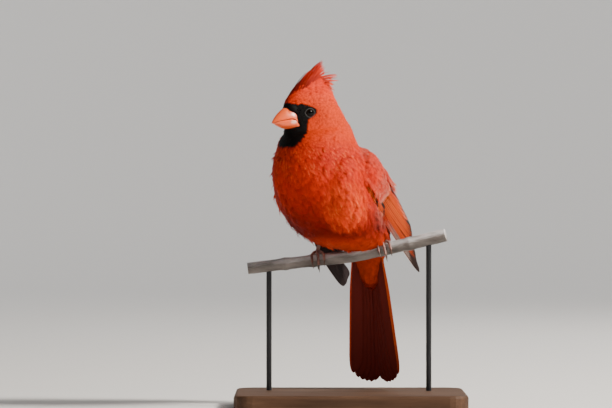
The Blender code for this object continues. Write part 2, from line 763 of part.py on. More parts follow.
def perch_centre(x):
    """The branch's centre at x, on the line through its named points."""
    fine = [point * MM for point in curve_through([Vector(p) for p in PERCH_LINE], PERCH_STEPS * 2)]
    return Vector((x, value_at([(p.x, p.y) for p in fine], x), value_at([(p.x, p.z) for p in fine], x)))


def perch_tangent(x):
    return (perch_centre(x + 2 * MM) - perch_centre(x - 2 * MM)).normalized()


def perch_tube(name, inflate=0.0):
    """The branch as a closed tube, a little thicker at its nodes and towards the bird's left."""
    curve = bpy.data.curves.new(name, "CURVE")
    curve.dimensions = "3D"
    curve.bevel_depth = PERCH_RADIUS + inflate
    curve.bevel_resolution = PERCH_SIDES // 4 - 1
    curve.use_fill_caps = True
    spline = curve.splines.new("POLY")
    line = curve_through([Vector(p) for p in PERCH_LINE], PERCH_STEPS)
    spline.points.add(len(line) - 1)
    for point, place in zip(spline.points, line):
        swell = sum(size * max(0, 1 - abs(place.x - x) / NODE_HALF_LENGTH) for x, size in PERCH_NODES.items())
        point.co = (*(place * MM), 1)
        point.radius = 1 + swell * MM / PERCH_RADIUS + PERCH_TAPER * place.x
    tube = bpy.data.objects.new(name, curve)
    bpy.context.scene.collection.objects.link(tube)
    graph = bpy.context.evaluated_depsgraph_get()
    mesh = bpy.data.meshes.new_from_object(tube.evaluated_get(graph))
    bpy.data.objects.remove(tube)
    edit = bmesh.new()
    edit.from_mesh(mesh)
    bmesh.ops.remove_doubles(edit, verts=edit.verts, dist=1e-5)
    edit.to_mesh(mesh)
    edit.free()
    made = bpy.data.objects.new(name, mesh)
    bpy.context.scene.collection.objects.link(made)
    face_out(made)
    return made


def cylinder(name, radius, low, high, x, y, sides=20):
    bpy.ops.mesh.primitive_cylinder_add(vertices=sides, radius=radius, depth=high - low,
                                        location=(x, y, (low + high) / 2))
    obj = bpy.context.object
    obj.name = name
    bake_place(obj)
    return obj


def make_stand_and_perch():
    """Base, two rods and the branch, which is drilled for the rods' ends."""
    bpy.ops.mesh.primitive_cube_add(size=1, location=(0, 0, BASE_SIZE.z / 2))
    base = bpy.context.object
    base.name = "stand_base"
    base.scale = BASE_SIZE
    bake_place(base)
    edit = bmesh.new()
    edit.from_mesh(base.data)
    upright = [e for e in edit.edges if abs(e.verts[0].co.z - e.verts[1].co.z) > MM]
    bmesh.ops.bevel(edit, geom=upright, offset=BASE_CORNER_RADIUS, segments=5, affect="EDGES", profile=0.5)
    rim = [e for e in edit.edges if min(v.co.z for v in e.verts) > BASE_SIZE.z - MM and
           any(abs(f.normal.z) < 0.5 for f in e.link_faces)]
    bmesh.ops.bevel(edit, geom=rim, offset=BASE_EDGE_RADIUS, segments=2, affect="EDGES", profile=0.5)
    edit.to_mesh(base.data)
    edit.free()
    perch = perch_tube("perch")
    rods, drills = [], []
    for side, x in ROD_X.items():
        centre = perch_centre(x)
        under = centre.z - PERCH_RADIUS
        top = under + ROD_DEPTH_IN_PERCH
        rods.append(cylinder(f"stand_rod_{side}", ROD_RADIUS, BASE_SIZE.z + GAP, top, x, centre.y))
        drills.append(cylinder("drill", ROD_RADIUS + GAP, under - 3 * MM, top + GAP, x, centre.y))
    boolean(perch, drills, "DIFFERENCE")
    keep_largest(perch)
    return base, perch, rods


def ringed_tube(name, path, radii, sides=8):
    """A closed tube along a path with a radius at each point."""
    rings = []
    across = None
    for i, (centre, radius) in enumerate(zip(path, radii)):
        ahead = (path[min(i + 1, len(path) - 1)] - path[max(i - 1, 0)]).normalized()
        across = ahead.orthogonal() if across is None else across - ahead * across.dot(ahead)
        across.normalize()
        other = ahead.cross(across)
        rings.append([centre + (across * math.cos(a) + other * math.sin(a)) * radius
                      for a in (2 * math.pi * k / sides for k in range(sides))])
    return loft(name, rings)


def scuted(path, start, end, scutes, inflate=0.0):
    """Points and radii along a path, stepped so that each scute stands over the next."""
    if inflate:
        path_points = [on_path(path, k / SMOOTH_STEPS) for k in range(SMOOTH_STEPS + 1)]
        return path_points, [start + SCUTE_STEP + inflate] * len(path_points)
    points, radii = [], []
    for k in range(scutes):
        for edge, step in ((0.0, SCUTE_STEP), (0.9, 0.0)):
            t = (k + edge) / scutes
            points.append(on_path(path, t))
            radii.append(start + (end - start) * t + step)
    points.append(path[-1])
    radii.append(end)
    return points, radii


def on_path(path, t):
    """The point a share t of the way along a path of points."""
    lengths = [(b - a).length for a, b in zip(path, path[1:])]
    left = t * sum(lengths)
    for a, b, length in zip(path, path[1:], lengths):
        if left <= length:
            return a.lerp(b, left / length)
        left -= length
    return path[-1]


def round_perch(x, angle, offset, radius):
    """A place beside the branch: angle is from its top towards the front, offset is along it."""
    tangent = perch_tangent(x)
    front = Vector((0, -1, 0))
    up = front.cross(tangent)
    if up.z < 0:
        up = -up
    centre = perch_centre(x) + tangent * offset
    return centre + (up * math.cos(angle) + front * math.sin(angle)) * radius


def make_toe(name, x, lean, end_angle, straight, claw, forward=True, inflate=0.0):
    """A toe that follows the branch and ends in a curved claw."""
    reach = PERCH_RADIUS + TOE_RADIUS + SCUTE_STEP + TOE_CLEARANCE
    path = []
    for k in range(TOE_STEPS + 1):
        t = k / TOE_STEPS
        angle = FOOT_TOP_ANGLE + (math.radians(end_angle) - FOOT_TOP_ANGLE) * t
        path.append(round_perch(x, angle, lean * MM * min(1, 1.4 * t), reach))
    ahead = (path[-1] - path[-2]).normalized()
    if straight:
        path.append(path[-1] + ahead * straight * MM)
    points, radii = scuted(path, TOE_RADIUS * 1.1, TOE_RADIUS * 0.85, TOE_SCUTES[forward], inflate)
    toe = ringed_tube(name, points, radii, sides=6)
    inward = (perch_centre(x) - path[-1])
    inward = (inward - ahead * inward.dot(ahead)).normalized()
    claw_path = []
    for k in range(CLAW_RINGS):
        t = k / (CLAW_RINGS - 1)
        curl = CLAW_CURL[forward] * t * t
        claw_path.append(path[-1] + ahead * claw * MM * (t - 0.15) + inward * claw * MM * curl)
    claw_radii = [CLAW_RADIUS * (1 - 0.8 * k / (CLAW_RINGS - 1)) + inflate for k in range(CLAW_RINGS)]
    return [toe, ringed_tube(name + "_claw", claw_path, claw_radii, sides=6)]


def make_leg(side, inflate=0.0):
    """Tarsus with its scutes, three toes forward, one back, and their claws."""
    x = FOOT_X[side]
    sign = 1 if side == "left" else -1
    ankle = round_perch(x, FOOT_TOP_ANGLE, 0, PERCH_RADIUS + ANKLE_HEIGHT)
    heel = BODY @ (Vector(HEEL[side]) * MM)
    heel += (heel - ankle).normalized() * inflate
    points, radii = scuted([heel, ankle], TARSUS_RADIUS * 1.15, TARSUS_RADIUS, TARSUS_SCUTES, inflate)
    leg = ringed_tube(f"leg_{side}", points, radii)
    pieces = [sphere("ankle", ankle, ANKLE_RADIUS + inflate, 10, 8)]
    for toe, (lean, end_angle, straight, claw) in FRONT_TOES.items():
        pieces += make_toe(toe, x, lean * sign, end_angle, straight, claw, inflate=inflate)
    end_angle, claw = HIND_TOE
    pieces += make_toe("hind", x, HIND_LEAN * sign, end_angle, 0, claw, forward=False, inflate=inflate)
    boolean(leg, pieces, "UNION")
    return leg


def finish(obj, finish_material, group):
    """Gives an object its material and its collection, and shades round surfaces smooth."""
    obj.data.materials.clear()
    obj.data.materials.append(finish_material)
    for polygon in obj.data.polygons:
        polygon.use_smooth = True
    obj.data.set_sharp_from_angle(angle=math.radians(40))
    for other in obj.users_collection:
        other.objects.unlink(obj)
    group.objects.link(obj)


def main():
    clear_scene()
    base, perch, rods = make_stand_and_perch()
    torso, neck, head, crest = make_body()
    torso_room = body_length("torso_room", 0, TORSO_ROOM_END, inflate=ROOM)
    push = outward_push(tree_of(torso_room), FEATHER_THICKNESS + FEATHER_CLEARANCE)
    perch_room = perch_tube("perch_room", inflate=ROOM)
    head_room = body_length("head_room", NECK_END, CREST_CORE_END, inflate=GAP)

    eyes = make_eyes(head)
    bill_upper, bill_lower = make_bill(head_room)
    sign = plane_normal_sign()
    below_crest = body_length("below_crest", NECK_END, HEAD_END, inflate=GAP, trim_end=CREST_ROOM * sign)
    make_crest(crest, below_crest)
    wings = [make_wing(side, push, [torso_room, perch_room]) for side in WINGS]
    tail = make_tail([torso_room, perch_room])
    legs = [make_leg(side) for side in FOOT_X]
    leg_rooms = [make_leg(side, ROOM) for side in FOOT_X]
    for leg in legs:
        boolean(leg, [copy_of(perch_room)], "DIFFERENCE")
    for obj in (torso, tail):
        boolean(obj, [copy_of(room) for room in (*leg_rooms, perch_room)], "DIFFERENCE")
    for obj in (torso, head, tail, *legs):
        keep_largest(obj)
    for helper in (torso_room, perch_room, head_room, *leg_rooms):
        bpy.data.objects.remove(helper)

    group = bpy.data.collections.new("northern_cardinal")
    bpy.context.scene.collection.children.link(group)
    red = material("red_feathers", RED, 0.7)
    bright = material("crest_feathers", BRIGHT_RED, 0.65)
    dusky = material("flight_feathers", DUSKY_RED, 0.55)
    horn = material("bill_horn", CORAL, 0.35)
    eye = material("eye", EYE_BROWN, 0.05)
    skin = material("leg_skin", LEG_BROWN, 0.5)
    bark = material("bark", BARK_GREY, 0.85)
    wood = material("base_wood", BASE_WALNUT, 0.4)
    steel = material("rod_black", ROD_BLACK, 0.4, 0.8)
    bill = [bill_upper, bill_lower]
    finishes = [(red, [torso, neck, head]), (bright, [crest]), (dusky, [*wings, tail]), (horn, bill),
                (eye, eyes), (skin, legs), (bark, [perch]), (wood, [base]), (steel, rods)]
    for look, objects in finishes:
        for obj in objects:
            finish(obj, look, group)


main()
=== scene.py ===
"""The looks of a life-size northern cardinal on its perch: skin, feathers, bill, eyes, feet, bark and stand.

Shapes are worked out in millimetres in the part's own axes. build_mesh and marked_mesh turn them into metres.
"""

import math

import bmesh
import bpy
import numpy as np
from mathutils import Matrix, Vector, noise
from mathutils.bvhtree import BVHTree


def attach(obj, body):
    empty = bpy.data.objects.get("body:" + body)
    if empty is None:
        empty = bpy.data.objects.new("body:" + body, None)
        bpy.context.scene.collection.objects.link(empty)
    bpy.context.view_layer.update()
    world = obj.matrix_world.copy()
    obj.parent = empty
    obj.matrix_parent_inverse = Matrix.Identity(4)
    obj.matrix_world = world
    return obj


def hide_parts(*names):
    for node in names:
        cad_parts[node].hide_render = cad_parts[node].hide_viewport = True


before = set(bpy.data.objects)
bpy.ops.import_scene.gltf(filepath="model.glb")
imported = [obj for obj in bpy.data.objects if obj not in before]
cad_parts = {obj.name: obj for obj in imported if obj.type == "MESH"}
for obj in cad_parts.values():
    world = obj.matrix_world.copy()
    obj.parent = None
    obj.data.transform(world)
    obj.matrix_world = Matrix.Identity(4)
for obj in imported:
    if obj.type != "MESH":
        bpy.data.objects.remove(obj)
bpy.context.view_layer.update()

MM = 0.001
rng = np.random.default_rng(11)

# Camera: level, looking along +Y, with the photograph's frame of 612 x 408 pixels
CAMERA_PLACE = (-32.6, -2488, 150.2)
CAMERA_LENS = 198.7

# Floor and backdrop, light from all round, and soft lights: place, power, size, colour and aim, in metres
FLOOR_RADII, FLOOR_SIDES, WALL_BEND = (50, 1000, 3400), 96, 2400
FLOOR_COLOUR = (0.78, 0.77, 0.76, 1)
WORLD_COLOUR, WORLD_STRENGTH = (1.0, 0.98, 0.95, 1), 0.10
BIRD, WALL = (-0.01, 0, 0.16), (0, 5.6, 1.3)
LIGHTS = [
    ((1.68, -0.62, 1.42), 114, 0.45, (1.0, 0.94, 0.85), BIRD),
    ((-1.6, -1.5, 0.9), 3, 1.2, (1.0, 0.97, 0.94), BIRD),
    ((0.9, 1.5, 1.3), 12, 0.7, (1.0, 0.95, 0.9), BIRD),
    ((-2.6, 2.4, 2.6), 60, 1.6, (1.0, 1.0, 1.0), WALL),
    ((2.6, 2.4, 2.6), 60, 1.6, (1.0, 1.0, 1.0), WALL),
]

# The three headings: how far forward is turned from -Y towards -X
BODY_YAW = math.radians(42)
HEAD_YAW = math.radians(52)
TAIL_YAW = math.radians(30)
BODY_ORIGIN = (1, 12, 0)
HEAD_ORIGIN = (-36.3, -27.6, 217.8)

# Body sections from the vent to the crown: front point (forward, up), back point (forward, up),
# half width and fullness
TORSO_SECTIONS = [
    ((-17, 109), (-29, 113), 8, 0.0),
    ((-12, 114), (-32, 121), 14, 0.0),
    ((8, 118), (-31, 133), 22, 0.05),
    ((30, 122), (-25, 145), 28.5, 0.08),
    ((48, 131), (-18, 157), 31.5, 0.06),
    ((61, 143), (-11, 169), 33, 0.04),
    ((70, 157), (-4, 180), 32.5, 0.0),
    ((74, 171), (2, 190), 31, -0.04),
    ((73.5, 185), (7, 199), 28, -0.08),
    ((70, 197), (10.5, 207), 24.5, -0.1),
]
HEAD_SECTIONS = [
    ((15, -17), (-39, -7), 18.5, -0.3),
    ((15.5, -10), (-35, -1), 16, -0.4),
    ((16, -3), (-31, 5), 13.8, -0.42),
    ((15.8, 2.5), (-28, 10), 12, -0.38),
    ((14, 7), (-26, 14.5), 10, -0.28),
    ((10, 11.5), (-24, 18), 7, -0.15),
    ((4.5, 16), (-22, 21), 4.2, 0.0),
    ((-4.5, 22), (-19.5, 24.5), 2.0, 0.0),
]
# How far the skin lies inside the coat's outline, along the sections
SKIN_DEPTHS = [(0, 2.0), (7, 2.6), (9, 2.2), (11, 1.5), (13, 1.1), (15, 1.0), (17, 0.6)]
SKIN_SIDES = 72
SKIN_STEPS_PER_SECTION = 6
SKIN_VOXEL = 0.9
SKIN_SMOOTHING = 4
SHOULDER_SMOOTHING = 40
LEAST_WEIGHT = 0.02

# Soft rises of the skin on both sides of the bird: heading, centre and three axes with their radii
CUSHIONS = {
    "nasal": ("head", (9.5, 2.6, 0.6), ((4.4, 0, 0), (0, 3.6, 0), (0, 0, 4.0))),
    "gape": ("head", (8.0, 5.2, -5.2), ((3.2, 0, -1.3), (0, 1.6, 0), (0.6, 0, 1.3))),
    "shoulder": ("body", (11, 19, 178), ((10, -1, 8), (2, 8, 3), (-7, -2, 9))),
    "wing_front": ("body", (27, 24, 172), ((9, 2, 2), (-1, 8.5, 0), (-3, 0, 15))),
    "breast_side": ("body", (36, 22.5, 165), ((17, -1, 0), (1, 11.5, 0), (0, 0, 23))),
}
CUSHION_SIDES = 20
CUSHION_RINGS = 12
CUSHION_POLE = 0.08

# Eyes, in the head's frame
EYE_CENTRE = (-0.8, 7.9, -1.5)
EYE_RADIUS = 4.1
EYE_FORWARD_TURN = math.radians(14)
EYE_OPENING = 3.75
EYE_OPENING_DEPTH = 2.7
EYE_RINGS = 30
EYE_SIDES = 48
EYE_END = np.pi * 0.62
CORNEA_RISE, CORNEA_SPREAD = 0.12, 0.55
LID_RADIUS, LID_THICKNESS, LID_DEPTH = 3.45, 0.36, 2.72
LID_SQUASH, LID_FLATNESS = 0.10, 0.75
LID_CORNERS, LID_CORNER_SPREAD = (0.4, 0.55), 0.22
LID_SCALES, LID_SCALE_HEIGHT = 34, 0.045
LID_SLOPE, LID_SLOPE_START = 0.28, 3.3
LID_STEPS, LID_SIDES = 120, 14

# Bill, in the head's frame: outlines as (forward, up) or (forward, half width)
BILL_CULMEN = [(8, 3.2), (15.5, 1.9), (19, -0.2), (22.5, -3.2), (25.2, -6.3), (26.8, -9.2)]
BILL_MOUTH = [
    (5, -10.6), (7.2, -9.6), (9.4, -6.9), (12, -6.0), (15, -6.2),
    (18, -6.8), (22.5, -7.8), (25.4, -8.9), (26.8, -9.6),
]
BILL_KEEL = [(5, -13.6), (12, -13.4), (17, -12.8), (21, -11.4), (24, -9.9), (25.2, -9.3)]
BILL_HALF_WIDTH = [(5, 6.9), (10, 6.7), (14, 6.0), (18, 4.9), (22, 3.4), (25, 1.6), (26.8, 0.35)]
BILL_ARCH = {True: 1.12, False: 0.6}
BILL_START, BILL_END = 4.5, {True: 26.8, False: 25.2}
BILL_FACE = 6.5
BILL_RINGS, BILL_RING_POWER, BILL_CURVE_STEPS = 40, 0.85, 8
BILL_SIDES, BILL_FLOOR_POINTS, BILL_FLOOR_RISE = 18, 6, 0.25
BILL_LEAST_DEPTH, BILL_LEAST_WIDTH = 0.06, 0.12
CULMEN_RIDGE, CULMEN_RIDGE_SPREAD = 0.12, 0.25
MOUTH_HALF_GAP = 0.1
LOWER_WIDTH = [(5, 1.1), (9, 1.1), (15, 1.0), (22, 0.94), (27, 0.93)]
NOSTRIL = (14.6, 3.6, -0.9)
NOSTRIL_RADIUS, NOSTRIL_DEPTH = 0.8, 0.75
# A painted highlight on the lower mandible near the gape: its middle, reach and strength
GAPE_HIGHLIGHT_SPOT, GAPE_HIGHLIGHT_REACH, GAPE_HIGHLIGHT_SHARE = (11.6, 6.6, -8.2), (3.4, 3.0, 1.6), 0.8

# Folded wings, in the body's frame, and their rows of feathers: how many, first and last root, first and
# last tip as (along the wing, up from its leading edge), width, height over the wing at the first and last,
# slope across
WINGS = {
    "left": {"wrist": (25, 32.0, 167), "tip": (-47, 24, 100.5), "bow": 0.0, "hug": 3.0},
    "right": {"wrist": (25, -32.0, 163), "tip": (-24, -28.5, 87.5), "bow": -9.0, "hug": 1.5},
}
INNER_PRIMARY_TIP = {"left": (80, 9), "right": (92, 10.5)}
OUTER_PRIMARY_DROP = {"left": -2.5, "right": 0.8}
PRIMARY_TIP_POWER = {"left": 2.7, "right": 2.8}
PRIMARY_OUTER_SHARE = {"left": 0.33, "right": 0.38}
WING_LENGTH = 95.0
WING_WRAP = 0.016
WING_WRAP_START = 6.0
WING_CORE_START, WING_CORE_END = -5, 44.0
WING_CORE_RINGS, CORE_SIDES = 14, 28
WING_CORE_SWELL = (0.12, 0.75)
WING_CORE_LOW, WING_CORE_HIGH = (3.8, -3), (9, 12.5)
WING_CORE_TOP, WING_CORE_BOTTOM, WING_CORE_TAPER = 3.4, -8.0, 0.6
WING_ROWS = {
    "primaries": (9, (22, 3), (26, 8), (95, 1.5), (80, 9), 6.6, 0.0, 1.7, 0.30),
    "secondaries": (6, (22, 9), (20, 16), (76, 12), (68, 19.5), 8.4, 1.9, 3.0, 0.20),
    "tertials": (4, (18, 15), (16, 18), (63, 21.5), (47, 24.5), 8.0, 3.2, 4.2, 0.15),
    "primary_coverts": (5, (11, 1.5), (12, 5), (39, 1.2), (34, 5.0), 4.4, 1.7, 2.4, 0.22),
    "alula": (3, (3, 0.5), (5, 2.5), (27, 0.0), (22, 2.5), 4.2, 2.4, 3.2, 0.22),
    "greater_coverts": (9, (5, 6), (6, 18), (27, 7), (33.5, 22.5), 6.2, 2.8, 4.4, 0.16),
}

# Tail, in its own frame
TAIL_ROOT = (-24.0, -3.3, 121.0)
TAIL_PITCH = math.radians(85.5)
TAIL_LEAN = 0.045
TAIL_LENGTHS = [103.0, 104.0, 103.5, 102.5, 100.5, 97.0]
TAIL_FEATHER_WIDTH = 10.6
TAIL_ROOT_PLACES = [1.0, 3.0, 5.0, 7.0, 9.0, 11.0]
TAIL_TIP_PLACES = [3.8, 6.9, 10.0, 13.0, 16.1, 19.2]
TAIL_LAYER = 0.7
# How far the outer pair's red reaches across, by side; the narrower red on the bird's right is painted shade.
TAIL_REACH_WITH_SHADE = {1: -0.1, -1: -0.55}
TAIL_INNER_REACH = -0.68
TAIL_MIDDLE_LIFT = 0.8
TAIL_ARCH = 0.006
TAIL_CORE = [(-8, 10, 6.0), (2, 11, 6.0), (8, 10.5, 5.0), (15, 8.5, 3.8), (23, 6, 2.4), (31, 3.5, 1.2)]
TAIL_CORE_SINK = 1.6

# Perch, legs and feet
PERCH_RADIUS = 4.6
PERCH_LINE = [
    (-75.5, 13.5, 102.5), (-30.3, 12.8, 108), (3.7, 12, 111.9),
    (37, 9.2, 119.3), (70.3, 3.5, 127.1),
]
PERCH_TAPER = 0.0006
PERCH_NODES, PERCH_NODE_REACH = {-48: 0.7, -27: 0.8, 44: 0.6}, 5
PERCH_STEPS, PERCH_SIDES = 60, 72
BARK_SINK = 0.12
PERCH_CAP_SHARES, PERCH_CAP_BULGE = (0.97, 0.6, 0.25), 0.25
FOOT_X = {"left": 25.5, "right": -23.7}
HEEL = {"left": (-6.0, 17.0, 143.0), "right": (12.0, -17.0, 134.0)}
TARSUS_RADIUS = 1.35
TOE_RADIUS = 1.05
CLAW_RADIUS = 0.72
FOOT_TOP_ANGLE = math.radians(-22)
FRONT_TOES = {"inner": (-4.6, 76, 2.0, 6.0), "middle": (-0.2, 82, 4.5, 6.8), "outer": (4.4, 78, 2.5, 6.0)}
HIND_TOE = (-118, 7.0)
HIND_TOE_LEAN = 0.6
TARSUS_SCUTES, TARSUS_SCUTE_STEP = 8, 0.16
TOE_SCUTES, TOE_SCUTE_STEP = {True: 10, False: 8}, 0.13
SCUTE_SAMPLES, SCUTE_EDGE, SCUTE_DROP, SCUTE_START = 6, 0.86, 0.14, 0.35
TARSUS_SIDES, TOE_SIDES, CLAW_SIDES = 14, 12, 10
ANKLE_HEIGHT = 2.0
BALL_RADIUS, BALL_REACH, BALL_SPAN = 1.65, 1.75, (1.7, -1.6)
TOE_CLEARANCE = 0.45
TOE_ENDS = (0.35, 0.7, 1.0)
PAD_PLACES = (0.38, 0.72, 0.98)
PAD_DEPTHS, PAD_RADII = (-0.3, 0.1, 0.5, 0.75), [0.8, 0.85, 0.6, 0.2]
CLAW_CURL, CLAW_CURL_POWER = {True: 0.12, False: 0.3}, 1.8
CLAW_ROOT, CLAW_TAPER, CLAW_POINT = 0.16, 0.7, 0.05

# The unwrap named OFBake: its settings, and the width of a feather's patch on it
UV_ANGLE, UV_MARGIN = math.radians(72), 0.004
UV_PATCH = 0.003

# Body feathers by zone: length, width, how far they stand off the skin, spacing
ZONES = {
    "body": (12.5, 4.0, 2.3, 1.72),
    "neck": (8.5, 3.2, 1.9, 1.42),
    "head": (6.2, 1.9, 0.85, 1.04),
    "crown": (8.5, 1.9, 1.1, 1.08),
    "face": (2.7, 1.5, 0.6, 0.72),
    "eye": (1.6, 1.0, 0.35, 0.58),
    "flank": (15.0, 4.2, 3.3, 1.70),
    "shoulder": (12.0, 4.8, 2.4, 1.70),
    "wing": (9.0, 4.4, 2.0, 1.60),
    "tail": (17.0, 5.5, 1.8, 1.70),
}
FLANK_CENTRE, FLANK_RADII = (40, 28, 150), (26, 16, 24)
SHOULDER_CENTRE, SHOULDER_RADII = (6, 20, 178), (24, 14, 22)
BLOB_EDGE = (1.0, 0.45)
FACE_CENTRE = (11.5, 0, -5.5)
# Where each zone starts and is full: up the head, away from the face or the eye, down the tail
ZONE_STEPS = {
    "neck": (-44, -24), "head": (-34, -14), "crown": (5, 11),
    "face": (20, 6), "eye": (8.5, 4.2), "tail": (2, 12),
}
# Limits between the coat's meshes: the head's lower end, the nape's front and the back's front
HEAD_END, NAPE_FRONT, BACK_FRONT = -20, -12, 18
COAT_SAMPLES = 400000
COAT_SHAPES, COVERT_SHAPES, CREST_SHAPES = range(6), range(20, 24), range(40, 45)
CELL_RATIO = 1.2

# How the coat lies: the place it spreads from on the head, directions as (forward, left, up) and their shares
FLOW_START = (17.0, 0, -6.5)
NAPE_SINK, NAPE_SINK_SHARE = (-0.35, 0, -1.1), 0.9
NAPE_STEP = (6, -22)
CROWN_FLOW = (-0.80, 0, 0.72)
CROWN_UP, CROWN_FORWARD = (3, 9), (-34, -16)
BODY_FLOW = (-0.62, 0, -0.95)
SHOULDER_FLOW_SHARE = 0.75
EYE_FLOW_SHARE = 1.4
WING_COAT_STEPS = [("n", -4.5, -1.5), ("v", -3, 3), ("v", 30, 25), ("u", -3, 10), ("u", 70, 60)]
WING_COAT_DROP = 0.05

# The face's black mask, in the head's frame: its back edge as (up, forward), its lower and upper end
MASK_EDGE = [
    (-28.5, 17), (-26, 10.7), (-22.4, 8.5), (-16.5, 3.0), (-6.9, 1.9), (-3.9, -2.4),
    (-1.5, -5.2), (1.5, -5.0), (3.4, -2), (4.6, 5), (5.2, 15), (5.6, 30),
]
MASK_BLUR = 0.5
MASK_BOTTOM, MASK_TOP = (-28.6, -27.4), (5.6, 5.0)

# Where the coat's other markings, its painted light and sheen, and its deeper red with painted shade start
# and are full: along the body, head or tail, and up
MANTLE_FORWARD, MANTLE_UP, MANTLE_HEIGHT = (16, -3), (-16, -32), (128, 148)
# The band of the breast where some feather tips take painted sheen.
BREAST_BOTTOM, BREAST_TOP, BREAST_FORWARD = (-50, -40), (-22, -30), (20, 45)
# Where the cheek and nape take painted light.
CHEEK_BOTTOM, CHEEK_TOP, CHEEK_FORWARD = (-34, -12), (24, 2), (16, 4)
UNDERTAIL_ALONG, UNDERTAIL_HEIGHT = (-16, 2), (2, -2)
# Deeper red low on the body, partly the plumage's own and partly painted shade.
DEEP_AND_SHADE_HEIGHT, DEEP_AND_SHADE_SHARE = (174, 124), 0.92
MANTLE_SHARE, SHOULDER_SHARE, WING_SHARE, MOST_FRINGE = 0.9, 0.6, 0.08, 0.9
# How much painted light the flank takes, and how much of the low body's deeper red and painted shade it
# clears.
FLANK_LIGHT, FLANK_CLEARING = 0.7, 0.8

# A body feather: its vane as (along, half width, shaft height), droop at the sides, and a fan of fine barbs
COAT_VANE = [(0.0, 0.10, 0), (0.32, 0.42, 0.06), (0.62, 0.36, 0.06)]
COAT_VANE_DROOP = -0.05
BARBS, BARB_FAN = 15, math.radians(76)
BARB_HALF_WIDTH, BARB_NARROWING = 0.040, 0.85
FEATHER_STEPS = 4
FEATHER_RISE = np.array([-0.2, 0.5, 0.85, 1.0, 0.98])[:, None]
FEATHER_TIP_STEP = 3
STRAY_SHARE, STRAY_LIFT = 0.03, 0.8
HEAD_RUFFLE, BODY_RUFFLE = 0.08, 0.15
SIZE_SPREAD = (0.85, 1.15)

# Soft feathers over the large coverts, by row: first and last root as (along, up), how many along and up,
# length, width, lift, drift upwards, unevenness
SOFT_COVERTS = {
    "lesser": ((-13, 3), (18, 25), (18, 13), 9.5, 4.4, 1.0, -0.02, 0.25),
    "scapular": ((12, 21), (23, 26), (5, 5), 16.5, 3.2, 1.6, 0.13, 0.45),
}
COVERT_BASE, COVERT_RISE = 2.6, 1.2

# Flight feathers: places across the vane and along it, the shaft, and the vane's thickness
QUILL_ACROSS = np.array([-1, -0.8, -0.5, -0.2, -0.07, 0, 0.07, 0.2, 0.5, 0.8, 1])
QUILL_STATIONS = np.concatenate([np.linspace(0, 0.86, 15), [0.9, 0.935, 0.965, 0.985, 1.0]])
SHAFT_HALF_WIDTH, SHAFT_HEIGHT, SHAFT_UNDER = 0.07, 0.28, 1.7
QUILL_THICKNESS = 0.22
QUILL_COVER_START, QUILL_COVER_WIDTH, QUILL_COVER_DEPTH = 19, 25, 2.5
QUILL_ROOT_RISE = 0.8
LONG_ROW_FULLNESS = 1.04
OUTER_SHARES = {"secondaries": 0.34, "coverts": 0.45}
QUILL_TIP = 0.16
WING_CAMBER, TAIL_CAMBER = 0.05, 0.02
# For each row of the wing: pale outer edge, red outer web, how much of a covert it is, how far across
# the red reaches
WING_TINTS = {
    "primaries": (1.0, 0.0, 0.0, -0.72),
    "secondaries": (0.0, 1.0, 0.0, -0.66),
    "tertials": (0.0, 0.8, 0.45, -0.30),
    "primary_coverts": (0.0, 0.9, 0.0, -0.55),
    "alula": (0.0, 0.9, 0.0, -0.50),
    "greater_coverts": (0.0, 1.0, 0.8, 0.7),
}

# The crest's long feathers, front to back, in the head's frame: root, tip, spread across the crown, width,
# how many
CREST_ROWS = [
    ((14.2, 4.8), (7.0, 14.0), 4.8, 2.6, 11),
    ((13.2, 6.6), (4.5, 17.0), 4.6, 2.6, 11),
    ((12.0, 8.2), (1.5, 20.0), 4.4, 2.7, 11),
    ((10.6, 9.8), (-2.0, 23.5), 4.2, 2.7, 11),
    ((9.0, 11.2), (-5.5, 27.0), 4.0, 2.7, 11),
    ((7.0, 12.6), (-9.0, 30.0), 3.8, 2.7, 11),
    ((4.8, 14.2), (-12.5, 32.8), 3.5, 2.7, 10),
    ((2.2, 15.8), (-15.5, 35.0), 3.2, 2.6, 10),
    ((-0.5, 17.6), (-18.0, 36.6), 2.9, 2.4, 9),
    ((-3.5, 19.6), (-20.0, 37.4), 2.4, 2.0, 7),
    ((-6.5, 21.4), (-20.8, 34.0), 2.4, 2.0, 8),
    ((-9.0, 22.2), (-21.5, 30.5), 2.4, 2.0, 8),
    ((-11.5, 22.8), (-22.0, 27.5), 2.4, 2.0, 8),
    ((-13.0, 23.2), (-33.0, 27.4), 1.6, 2.0, 8),
    ((-12.5, 23.2), (-27.5, 28.2), 2.0, 1.8, 5),
    ((-14.5, 22.8), (-28.0, 23.5), 2.6, 2.2, 9),
    ((-17.0, 22.2), (-29.5, 20.5), 3.0, 2.4, 9),
    ((-19.0, 20.5), (-28.6, 17.0), 3.8, 2.6, 9),
    ((-20.5, 18.5), (-29.4, 13.5), 4.6, 2.8, 10),
    ((-22.0, 16.5), (-31.0, 9.5), 5.4, 3.0, 10),
    ((-23.5, 14.0), (-32.5, 5.5), 6.2, 3.2, 11),
]
CREST_TIP_DRAW = 0.30
CREST_STEPS = 8
FRONTAL_BAND_TOP = 3.8
CREST_VANE = [
    (0.0, 0.16, 0.1), (0.2, 0.30, 0.1), (0.42, 0.30, 0.1),
    (0.62, 0.22, 0.1), (0.8, 0.13, 0.1), (0.93, 0.06, 0.1),
]
CREST_VANE_DROOP = -0.12
CREST_BARBS = 26
CREST_BOW, CREST_SINK = 0.12, 0.3
CREST_ROOT_DROP, CREST_TIP_DROP = (1.0, 2.6), (1.2, 4.2)
